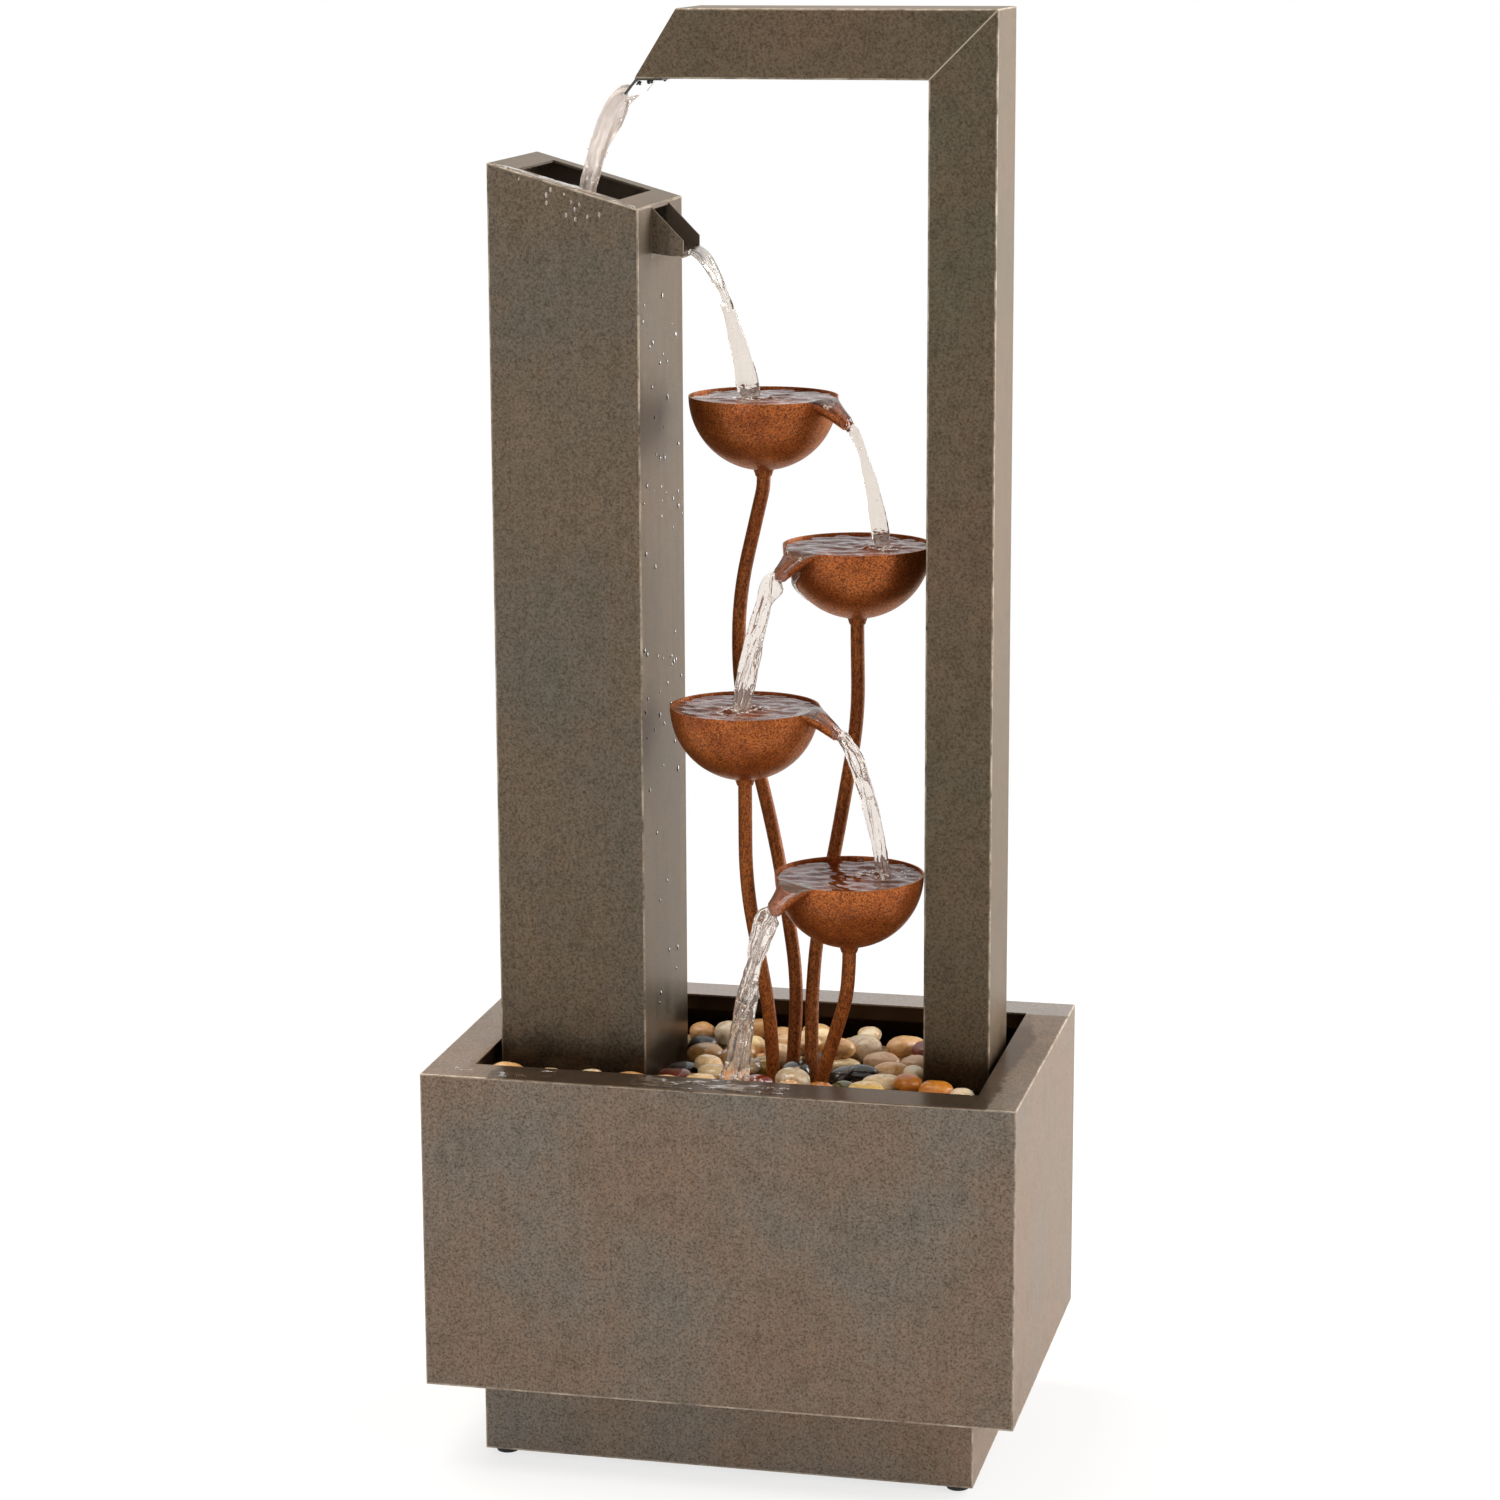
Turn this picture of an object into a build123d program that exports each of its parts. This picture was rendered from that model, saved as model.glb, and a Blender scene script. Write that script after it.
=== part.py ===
from build123d import *
import os
from math import cos, hypot, pi, radians, sin, sqrt, tan
from random import Random

# Tiered metal fountain: a basin on a plinth, a pouring column, an arch that feeds it, four bowls on stems,
# a bed of pebbles and a submersible pump.
# Lengths are millimetres. X runs along the front, Y towards the back and Z up.
# The origin is the centre of the footprint on the floor.

# Sheet stock and general fits
sheet = 1.5
edge_radius = 0.9
thick_plate = 3.0
overrun = 5.0
seat_gap = 0.3
slip_fit = 0.05

# Plinth and feet
plinth_inset = 34.0
plinth_height = 59.5
plinth_flange = 24.0
foot_height = 5.0
foot_radius = 9.5
foot_taper = 1.5
foot_inset = 13.0
foot_recess_depth = 2.6
foot_recess_radius = 4.4
screw_radius = 2.0
screw_head_radius = 3.8
screw_head_height = 2.2
screw_length = 9.0

# Basin
basin_width = 430.0
basin_depth = 278.0
basin_height = 234.0
rim_width = 32.0
rim_lip = 12.0
grommet_hole_radius = 7.0
grommet_flange = 2.5
grommet_lip = 1.5
grommet_bore_radius = 3.6
grommet_x = 110.0
grommet_drop = 88.0

# Deck that carries the pebbles, the column, the arch and the stems
deck_drop = 44.0
deck_plate = 2.0
deck_side_gap = 3.0
ledge_overlap = 5.0
ledge_skirt = 18.0
drain_radius = 4.0
drain_pitch = 20.0
drain_margin = 9.0
hatch_width = 60.0
hatch_depth = 54.0
hatch_x = 94.0
hatch_y = -71.0
hatch_lap = 6.0
hatch_lift_radius = 7.0

# Column
column_x = -122.0
column_width = 108.5
column_depth = 127.0
column_left_top = 938.0
column_right_top = 907.0
column_rim = 18.0
trough_sheet = 1.2
trough_wall = 20.0
trough_floor_drop = 6.0
foot_flange_width = 16.0

# Chute on the column's right face
chute_width = 50.0
chute_length = 22.5
chute_wall_bottom = 875.0
chute_tip_bottom = 872.0
chute_tip_height = 12.0
chute_top_drop = 1.5

# Arch
arch_inner_x = 131.0
arch_thickness = 48.0
arch_depth = 76.0
arch_top = 1043.0
arm_end_bottom_x = -76.0
arm_end_top_x = -46.0
arm_slot_width = 64.0
arm_slot_height = 12.0
arm_lip_width = 62.0
arm_lip_reach = 8.0
arm_lip_drop = 10.0
arm_lip_seat = 18.0

# Hose from the pump to the arm's outlet
hose_radius = 7.0
hose_bore_radius = 5.0
hose_x = 160.0
hose_bend_radius = 68.0
hose_top_gap = 10.5
hose_end_x = -22.0
hose_clip_length = 10.0
hose_clip_rim = 2.5
hose_clip_share = (0.18, 0.55)
hose_clamp_wall = 1.4
hose_clamp_length = 8.0

# Bowls: each one's place across and along the basin, as shares of half the basin's width and depth, and the
# height of its rim as a share of the arch's, with the way its spout points, in degrees from X towards Y
bowl_diameter = 107.0
bowl_wall = 1.2
bowl_place_shares = {
    "bowl_1": (0.0153, 0.1007, 0.7387),
    "bowl_2": (0.3363, 0.0863, 0.6384),
    "bowl_3": (-0.0009, -0.2446, 0.5314),
    "bowl_4": (0.3535, -0.2446, 0.4171),
}
bowl_spout_angle = {"bowl_1": -20.0, "bowl_2": 230.0, "bowl_3": -8.0, "bowl_4": 232.0}

# Spouts: stations from inside the rim to the tip, each with its place beyond the bowl's radius, the drop of its
# edges below the rim, and its half width and depth
spout_stations = (
    (-7.0, 0.6, 24.0, 4.8),
    (-2.0, 1.5, 16.6, 6.7),
    (5.5, 5.6, 10.3, 7.6),
    (15.0, 13.0, 7.0, 6.0),
)

# Stems
stem_radius = 5.0
stem_straight = 12.0
stem_foot_straight = 15.0
stem_thread = 12.0
stem_plate_margin = 14.0
collar_radius = 7.5
collar_height = 5.0
collar_rise = 0.55
stem_nut_flats = 16.0
stem_nut_height = 8.0

# Where each stem stands on the deck, as shares of half the basin's width and depth
stem_foot_shares = {
    "bowl_1": (0.1116, 0.0935),
    "bowl_2": (0.1907, 0.0),
    "bowl_3": (0.0791, -0.1295),
    "bowl_4": (0.2419, -0.1799),
}

# How far the arc of each bend runs into the shorter of its two straight runs
bend_arc_share = 0.45

# Bends of each stem: height, then drift in X and Y off the straight line, all as shares of the stem's rise
stem_bend_shares = {
    "bowl_1": ((0.172, 0.012, 0.021), (0.381, -0.014, 0.040), (0.644, -0.064, 0.031), (0.798, -0.053, 0.014)),
    "bowl_2": ((0.195, -0.025, 0.033), (0.324, -0.032, 0.059), (0.509, -0.009, 0.051), (0.794, 0.019, 0.016)),
    "bowl_3": ((0.286, 0.013, -0.008), (0.683, -0.022, -0.019)),
    "bowl_4": ((0.320, 0.000, 0.000), (0.695, 0.044, -0.014)),
}

# Bolts that hold the column, the arch and the stem plate to the deck
bolt_radius = 2.5
bolt_head_flats = 8.0
bolt_head_height = 3.5
bolt_tail = 2.0
nut_height = 4.0
bolt_inset = 8.0

# Submersible pump
cup_height = 8.0
cup_radius = 8.0
cup_neck_radius = 4.5
cup_inset = 11.0
pump_length = 54.0
pump_width = 48.0
pump_height = 44.0
pump_corner_radius = 5.0
rotor_bore_depth = 38.0
magnet_radius = 8.0
magnet_length = 31.0
rotor_gap = 0.8
shaft_radius = 1.5
bush_radius = 4.5
bush_length = 4.0
bush_pocket = 3.0
volute_length = 20.0
volute_width = 40.0
volute_height = 40.0
chamber_radius = 14.0
impeller_radius = 12.5
impeller_disc = 1.4
impeller_hub_radius = 5.0
impeller_length = 12.0
impeller_vane = 1.3
impeller_vanes = 6
nozzle_length = 22.0
nozzle_bore_radius = 3.4
faceplate = 2.0
eye_radius = 8.0
spider_width = 2.0
spider_arms = 3
cage_length = 16.0
cage_wall = 1.6
cage_overlap = 5.0
cage_slots = 7
cage_slot_width = 2.4
dial_radius = 9.0
dial_thickness = 2.5
dial_grip = 3.0
dial_pin_radius = 2.0
dial_head_radius = 3.2
dial_port_radius = 2.0
dial_port_ring = 6.0
dial_ports = 4
gland_radius = 6.0
gland_length = 9.0
gland_bore_radius = 3.0

# Pebbles: half lengths, with the other two half sizes as shares of that
pebble_half_length = (10.5, 16.5)
pebble_width_share = (0.74, 0.92)
pebble_height_share = (0.52, 0.72)
pebble_gap = 0.35
pebble_edge_gap = 1.0
pebble_step_gap = 2.5
pebble_front_drop = 4.0
pebble_back_drop = 13.0
pebble_limit_count = 320
pebble_patience = 40
pebble_tries = 70
pebble_seed = 11
pebble_rings = 5
pebble_spokes = 20

# Where single dark and amber pebbles lie, as shares of half the basin's width and depth, left and front negative
dark_pebble_shares = ((-0.24, -0.30), (0.12, 0.02), (0.03, -0.55), (-0.20, 0.36), (0.55, 0.42), (0.40, -0.02))
amber_pebble_shares = ((0.50, -0.52), (0.56, -0.68), (-0.08, -0.62), (0.06, -0.42), (0.24, -0.46), (-0.30, 0.30))
grey_share = 0.16
tan_share = 0.30

# Levels and places that follow from the sizes above
plinth_width = basin_width - 2 * plinth_inset
plinth_depth = basin_depth - 2 * plinth_inset
basin_bottom = foot_height + plinth_height
basin_top = basin_bottom + basin_height
floor_top = basin_bottom + sheet
mouth_width = basin_width - 2 * rim_width
mouth_depth = basin_depth - 2 * rim_width
deck_top = basin_top - deck_drop
deck_bottom = deck_top - deck_plate
deck_width = mouth_width - 2 * deck_side_gap
deck_depth = mouth_depth - 2 * deck_side_gap
column_left = column_x - column_width / 2
column_right = column_x + column_width / 2
column_slope = (column_right_top - column_left_top) / column_width
arch_outer_x = arch_inner_x + arch_thickness
arch_x = arch_inner_x + arch_thickness / 2
arm_bottom = arch_top - arch_thickness
hose_top_z = arch_top - sheet - hose_top_gap - hose_radius
bowl_radius = bowl_diameter / 2
bowl_place = {name: (x_share * basin_width / 2, y_share * basin_depth / 2, z_share * arch_top)
              for name, (x_share, y_share, z_share) in bowl_place_shares.items()}
stem_foot = {name: (x_share * basin_width / 2, y_share * basin_depth / 2)
             for name, (x_share, y_share) in stem_foot_shares.items()}
stem_plate_top = deck_top + thick_plate
pump_axis_z = floor_top + cup_height + pump_height / 2
volute_back_x = hose_x - volute_length / 2
volute_front_x = hose_x + volute_length / 2
volute_top = pump_axis_z + volute_height / 2
faceplate_front_x = volute_front_x + faceplate
cage_front_x = faceplate_front_x + cage_length
rotor_end_x = volute_back_x - rotor_bore_depth
rotor_bore_radius = magnet_radius + rotor_gap

parts = {}


# Shared shapes

def block(x_span, y_span, z_span):
    """Box between two values on each axis."""
    spans = (x_span, y_span, z_span)
    centre = [(low + high) / 2 for low, high in spans]
    return Pos(*centre) * Box(*[high - low for low, high in spans])


def centred(size, middle=0):
    """Span of a size about its middle."""
    return (middle - size / 2, middle + size / 2)


def side_prism(points, y_span):
    """Outline in X and Z, given as points, drawn out along Y."""
    outline = make_face(Polyline(*[(x, y_span[0], z) for x, z in points], close=True))
    return extrude(outline, amount=y_span[1] - y_span[0], dir=(0, 1, 0))


def rod_z(radius, x, y, z_span):
    """Upright round bar."""
    low, high = z_span
    return Pos(x, y, (low + high) / 2) * Cylinder(radius, high - low)


def rod_x(radius, x_span, y, z):
    """Round bar along X."""
    low, high = x_span
    return Pos((low + high) / 2, y, z) * Rot(0, 90, 0) * Cylinder(radius, high - low)


def hex_z(flats, x, y, z_span):
    """Upright hexagonal bar, as wide across its flats as given."""
    low, high = z_span
    return Pos(x, y, low) * extrude(RegularPolygon(flats / 2, 6, major_radius=False), amount=high - low)


def mitred_panels(ring, width, depth, reach, centre_x=0):
    """Cut a sheet ring into front, back, left and right panels along the mitres of its corners."""
    out_x, out_y = width / 2 + overrun, depth / 2 + overrun
    in_x, in_y = width / 2 - reach, depth / 2 - reach
    outlines = {
        "front": ((-out_x, -out_y), (out_x, -out_y), (in_x, -in_y), (-in_x, -in_y)),
        "back": ((-out_x, out_y), (out_x, out_y), (in_x, in_y), (-in_x, in_y)),
        "left": ((-out_x, -out_y), (-in_x, -in_y), (-in_x, in_y), (-out_x, out_y)),
        "right": ((out_x, -out_y), (in_x, -in_y), (in_x, in_y), (out_x, out_y)),
    }
    box = ring.bounding_box()
    panels = {}
    for side, corners in outlines.items():
        wedge = extrude(make_face(Polyline(*corners, close=True)), amount=box.size.Z + 2 * overrun, dir=(0, 0, 1))
        panels[side] = ring & (Pos(centre_x, 0, box.min.Z - overrun) * wedge)
    return panels


def round_edges(solid, axis):
    """Round a sheet shell's edges that run along an axis."""
    return fillet(solid.edges().filter_by(axis), edge_radius)


# Plinth and feet

def foot_places():
    """Centres of the four feet."""
    x = plinth_width / 2 - foot_inset
    y = plinth_depth / 2 - foot_inset
    return [(-x, -y), (x, -y), (-x, y), (x, y)]


def make_plinth():
    """Recessed sheet plinth with flanges turned in at the top and bottom."""
    z_span = (foot_height, basin_bottom)
    shell = round_edges(block(centred(plinth_width), centred(plinth_depth), z_span), Axis.Z)
    hollow_z = (z_span[0] + sheet, z_span[1] - sheet)
    shell -= block(centred(plinth_width - 2 * sheet), centred(plinth_depth - 2 * sheet), hollow_z)
    clear_z = (z_span[0] - overrun, z_span[1] + overrun)
    shell -= block(centred(plinth_width - 2 * plinth_flange), centred(plinth_depth - 2 * plinth_flange), clear_z)
    for x, y in foot_places():
        shell -= rod_z(screw_radius, x, y, (z_span[0] - overrun, hollow_z[0] + overrun))
    for side, panel in mitred_panels(shell, plinth_width, plinth_depth, plinth_flange + overrun).items():
        parts["plinth_" + side + "_panel"] = panel


def make_feet():
    """Rubber feet with a screw up through each into the plinth's flange."""
    feet = []
    screws = []
    for x, y in foot_places():
        foot = Pos(x, y, foot_height / 2) * Cone(foot_radius - foot_taper, foot_radius, foot_height)
        foot -= rod_z(foot_recess_radius, x, y, (-overrun, foot_recess_depth))
        foot -= rod_z(screw_radius, x, y, (0, foot_height + overrun))
        feet.append(foot)
        head = rod_z(screw_head_radius, x, y, (foot_recess_depth - screw_head_height, foot_recess_depth))
        screws.append(head + rod_z(screw_radius, x, y, (foot_recess_depth, foot_recess_depth + screw_length)))
    parts["rubber_feet"] = feet
    parts["foot_screws"] = screws


# Basin

def make_basin():
    """Sheet basin: walls with a broad rim turned in, which ends in a lip turned down."""
    z_span = (basin_bottom, basin_top)
    shell = round_edges(block(centred(basin_width), centred(basin_depth), z_span), Axis.Z)
    shell = fillet(shell.faces().sort_by(Axis.Z)[-1].edges(), edge_radius)
    shell -= block(centred(basin_width - 2 * sheet), centred(basin_depth - 2 * sheet),
                   (z_span[0] - overrun, z_span[1] - sheet))
    lip_z = (basin_top - rim_lip, basin_top - sheet / 2)
    shell += block(centred(mouth_width + 2 * sheet), centred(mouth_depth + 2 * sheet), lip_z)
    shell -= block(centred(mouth_width), centred(mouth_depth), (z_span[0] - overrun, z_span[1] + overrun))
    grommet_z = basin_top - grommet_drop
    drill = Pos(grommet_x, basin_depth / 2, grommet_z) * Rot(90, 0, 0) * Cylinder(grommet_hole_radius, 2 * overrun)
    shell -= drill
    for side, panel in mitred_panels(shell, basin_width, basin_depth, rim_width + overrun).items():
        parts["basin_" + side + "_panel"] = panel
    parts["basin_floor"] = block(centred(basin_width - 2 * sheet), centred(basin_depth - 2 * sheet),
                                 (basin_bottom, floor_top))


def make_cable_grommet():
    """Bush for the pump's lead, flush outside the back wall and flanged inside it."""
    body = Pos(0, 0, sheet / 2) * Cylinder(grommet_hole_radius, sheet)
    body += Pos(0, 0, sheet + grommet_lip / 2) * Cylinder(grommet_hole_radius + grommet_flange, grommet_lip)
    body -= Cylinder(grommet_bore_radius, 2 * (sheet + grommet_lip + overrun))
    place = Pos(grommet_x, basin_depth / 2, basin_top - grommet_drop) * Rot(90, 0, 0)
    parts["cable_grommet"] = place * body


# Deck

def stem_plate_spans():
    """X and Y spans of the plate that carries the stems."""
    xs = [x for x, y in stem_foot.values()]
    ys = [y for x, y in stem_foot.values()]
    return [(min(values) - stem_plate_margin, max(values) + stem_plate_margin) for values in (xs, ys)]


def bolt_places(x_span, y_span, inset):
    """Four bolt centres, inset from the corners of a rectangle."""
    return [(x, y) for x in (x_span[0] + inset, x_span[1] - inset) for y in (y_span[0] + inset, y_span[1] - inset)]


def column_inner_spans():
    """X and Y spans inside the column's walls."""
    return centred(column_width - 2 * sheet, column_x), centred(column_depth - 2 * sheet)


def arch_inner_spans():
    """X and Y spans inside the arch's walls."""
    return centred(arch_thickness - 2 * sheet, arch_x), centred(arch_depth - 2 * sheet)


def all_bolts():
    """Bolt centres of the column, the arch and the stem plate."""
    places = bolt_places(*column_inner_spans(), bolt_inset)
    places += bolt_places(*arch_inner_spans(), bolt_inset)
    return places + bolt_places(*stem_plate_spans(), 2 * bolt_radius)


def hatch_spans():
    """X and Y spans of the cover over the pump's hand hole."""
    return centred(hatch_width, hatch_x), centred(hatch_depth, hatch_y)


def inside(x, y, spans, margin=0):
    """Whether a point lies in a rectangle grown by a margin."""
    return all(low - margin < value < high + margin for value, (low, high) in zip((x, y), spans))


def drain_places():
    """Centres of the deck's drain holes, clear of everything that stands on the deck."""
    keep_out = [column_inner_spans(), arch_inner_spans(), stem_plate_spans(), hatch_spans()]
    columns = int((deck_width / 2 - drain_margin) // drain_pitch)
    rows = int((deck_depth / 2 - drain_margin) // drain_pitch)
    grid = [(i * drain_pitch, j * drain_pitch) for i in range(-columns, columns + 1) for j in range(-rows, rows + 1)]
    return [(x, y) for x, y in grid if not any(inside(x, y, spans, drain_margin) for spans in keep_out)]


def make_deck():
    """Drilled deck that drops in through the rim, with its hatch and the ledges under it."""
    z_span = (deck_bottom, deck_top)
    cut_z = (deck_bottom - overrun, deck_top + overrun)
    deck = block(centred(deck_width), centred(deck_depth), z_span)
    cuts = [rod_z(drain_radius, x, y, cut_z) for x, y in drain_places()]
    cuts += [rod_z(bolt_radius, x, y, cut_z) for x, y in all_bolts()]
    cuts += [rod_z(stem_radius, x, y, cut_z) for x, y in stem_foot.values()]
    cuts.append(rod_z(hose_radius + grommet_lip, hose_x, 0, cut_z))
    hand_hole = [centred(size - 2 * hatch_lap, middle) for size, middle in
                 ((hatch_width, hatch_x), (hatch_depth, hatch_y))]
    cuts.append(block(*hand_hole, cut_z))
    parts["stone_deck"] = deck - cuts
    hatch = block(*hatch_spans(), (deck_top, deck_top + sheet))
    hatch = round_edges(hatch, Axis.Z)
    parts["pump_hatch"] = hatch - rod_z(hatch_lift_radius, hatch_x, hatch_y, (deck_top - overrun, deck_top + overrun))
    inner_width, inner_depth = basin_width - 2 * sheet, basin_depth - 2 * sheet
    ledge = block(centred(inner_width), centred(inner_depth), (deck_bottom - ledge_skirt, deck_bottom))
    ledge -= block(centred(inner_width - 2 * sheet), centred(inner_depth - 2 * sheet),
                   (deck_bottom - ledge_skirt - overrun, deck_bottom - sheet))
    opening = [centred(size - 2 * ledge_overlap) for size in (deck_width, deck_depth)]
    ledge -= block(*opening, (deck_bottom - ledge_skirt - overrun, deck_bottom + overrun))
    reach = (inner_width - deck_width) / 2 + ledge_overlap + overrun
    parts["deck_ledges"] = list(mitred_panels(ledge, inner_width, inner_depth, reach).values())


def make_deck_bolts():
    """Hexagon bolts through the foot plates and the deck, with their nuts below."""
    bolts = []
    nuts = []
    head_z = (deck_top + thick_plate, deck_top + thick_plate + bolt_head_height)
    nut_z = (deck_bottom - nut_height, deck_bottom)
    for x, y in all_bolts():
        head = hex_z(bolt_head_flats, x, y, head_z)
        bolts.append(head + rod_z(bolt_radius, x, y, (nut_z[0] - bolt_tail, head_z[0])))
        nuts.append(hex_z(bolt_head_flats, x, y, nut_z) - rod_z(bolt_radius, x, y, (nut_z[0] - overrun, deck_top)))
    parts["deck_bolts"] = bolts
    parts["deck_nuts"] = nuts


# Column

def column_top_at(x):
    """Height of the column's slanted top above a place across it."""
    return column_left_top + column_slope * (x - column_left)


def column_outline(margin, bottom, drop):
    """Side outline of the column, drawn in by a margin and lowered by a drop."""
    left, right = column_left + margin, column_right - margin
    return [(left, bottom), (right, bottom), (right, column_top_at(right) - drop), (left, column_top_at(left) - drop)]


def chute_spans():
    """Y span between the chute's cheeks."""
    return centred(chute_width - 2 * sheet)


def make_column():
    """Rectangular sheet column, its slanted top turned in to a rim, notched for the chute."""
    shell = side_prism(column_outline(0, deck_top, 0), centred(column_depth))
    shell = round_edges(shell, Axis.Z)
    shell = fillet(shell.faces().sort_by(Axis.Z)[-1].edges(), edge_radius)
    top_drop = sheet * hypot(1, column_slope)
    shell -= side_prism(column_outline(sheet, deck_top - overrun, top_drop), centred(column_depth - 2 * sheet))
    clear_z = (deck_top, column_left_top + overrun)
    mouth_x = (column_left + column_rim, column_right - column_rim)
    shell -= block(mouth_x, centred(column_depth - 2 * column_rim), clear_z)
    notch_top = column_right_top - chute_top_drop - sheet
    shell -= block((column_right - sheet - overrun / 2, column_right + overrun), chute_spans(),
                   (chute_wall_bottom, notch_top))
    for side, panel in mitred_panels(shell, column_width, column_depth, column_rim + overrun, column_x).items():
        parts["column_" + side + "_plate"] = panel


def make_chute():
    """Folded chute, two cheeks and a floor, that pours into the top bowl."""
    tip_x = column_right + chute_length
    wall_top = column_right_top - chute_top_drop
    tip_top = chute_tip_bottom + chute_tip_height
    cheek = [(column_right, chute_wall_bottom - sheet), (tip_x, chute_tip_bottom - sheet), (tip_x, tip_top - sheet),
             (tip_x - sheet, tip_top), (column_right, wall_top)]
    channel = [(column_right - overrun, chute_wall_bottom), (column_right, chute_wall_bottom),
               (tip_x, chute_tip_bottom), (tip_x + overrun, chute_tip_bottom), (tip_x + overrun, wall_top + overrun),
               (column_right - overrun, wall_top + overrun)]
    parts["column_chute"] = side_prism(cheek, centred(chute_width)) - side_prism(channel, chute_spans())


def make_trough():
    """Tray across the top of the column that holds the water behind the chute."""
    inner_x, inner_y = column_inner_spans()
    floor_z = chute_wall_bottom - trough_floor_drop
    tray = block(inner_x, inner_y, (floor_z - trough_sheet, floor_z + trough_wall))
    hollow_x = (inner_x[0] + trough_sheet, inner_x[1] - trough_sheet)
    hollow_y = (inner_y[0] + trough_sheet, inner_y[1] - trough_sheet)
    tray -= block(hollow_x, hollow_y, (floor_z, floor_z + trough_wall + overrun))
    tray -= block((inner_x[1] - overrun, inner_x[1] + overrun), chute_spans(),
                  (chute_wall_bottom, floor_z + trough_wall + overrun))
    parts["column_trough"] = tray


def make_column_foot():
    """Flat frame inside the column's foot, bolted down to the deck."""
    inner_x, inner_y = column_inner_spans()
    opening = [(span[0] + foot_flange_width, span[1] - foot_flange_width) for span in (inner_x, inner_y)]
    frame = block(inner_x, inner_y, (deck_top, deck_top + thick_plate))
    frame -= block(*opening, (deck_top - overrun, deck_top + thick_plate + overrun))
    for x, y in bolt_places(inner_x, inner_y, bolt_inset):
        frame -= rod_z(bolt_radius, x, y, (deck_top - overrun, deck_top + thick_plate + overrun))
    parts["column_foot_frame"] = frame


# Arch

def make_arch():
    """Rectangular tube post and arm, mitred at the corner, with the arm's end cut to a slant."""
    outer_y = centred(arch_depth)
    inner_y = centred(arch_depth - 2 * sheet)
    inner_corner = (arch_inner_x, arm_bottom)
    outer_corner = (arch_outer_x, arch_top)
    bore_inner_corner = (arch_inner_x + sheet, arm_bottom + sheet)
    bore_outer_corner = (arch_outer_x - sheet, arch_top - sheet)
    post = side_prism([(arch_inner_x, deck_top), (arch_outer_x, deck_top), outer_corner, inner_corner], outer_y)
    post = round_edges(post, Axis.Z)
    post_bore = side_prism([(arch_inner_x + sheet, deck_top - overrun), (arch_outer_x - sheet, deck_top - overrun),
                            bore_outer_corner, bore_inner_corner], inner_y)
    parts["arch_post"] = post - post_bore
    arm = side_prism([inner_corner, outer_corner, (arm_end_top_x, arch_top), (arm_end_bottom_x, arm_bottom)],
                     outer_y)
    arm = round_edges(arm, Axis.X)
    far = arm_end_bottom_x - overrun
    arm_bore = side_prism([bore_inner_corner, bore_outer_corner, (far, arch_top - sheet), (far, arm_bottom + sheet)],
                          inner_y)
    parts["arch_arm"] = arm - arm_bore


def arm_end_at(z):
    """Place along X of the arm's slanted end at a height."""
    share = (z - arm_bottom) / arch_thickness
    return arm_end_bottom_x + share * (arm_end_top_x - arm_end_bottom_x)


def make_arm_end():
    """Slanted plate that closes the arm above the outlet slot, and the lip under the slot."""
    low, high = arm_bottom + sheet, arch_top - sheet
    cover = side_prism([(arm_end_at(low), low), (arm_end_at(high), high), (arm_end_at(high) + sheet, high),
                        (arm_end_at(low) + sheet, low)], centred(arch_depth - 2 * sheet))
    slot_x = (arm_end_bottom_x - overrun, arm_end_at(low + arm_slot_height) + 2 * overrun)
    cover -= block(slot_x, centred(arm_slot_width), (low - overrun, low + arm_slot_height))
    parts["arm_end_plate"] = cover
    inner_x = arm_end_bottom_x + arm_lip_seat
    tip_x = arm_end_bottom_x - arm_lip_reach
    lip_bottom = arm_bottom - sheet
    lip = [(inner_x, arm_bottom), (inner_x, lip_bottom), (arm_end_bottom_x, lip_bottom),
           (tip_x, lip_bottom - arm_lip_drop), (tip_x - sheet, lip_bottom - arm_lip_drop + sheet / 2),
           (arm_end_bottom_x - sheet / 2, arm_bottom)]
    parts["arm_lip"] = side_prism(lip, centred(arm_lip_width))


def make_arch_foot():
    """Foot plate inside the post, bolted down to the deck, with a hole for the hose."""
    inner_x, inner_y = arch_inner_spans()
    cut_z = (deck_top - overrun, deck_top + thick_plate + overrun)
    plate = block(inner_x, inner_y, (deck_top, deck_top + thick_plate))
    plate -= rod_z(hose_radius + grommet_lip, hose_x, 0, cut_z)
    for x, y in bolt_places(inner_x, inner_y, bolt_inset):
        plate -= rod_z(bolt_radius, x, y, cut_z)
    parts["arch_foot_plate"] = plate


# Hose

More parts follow.
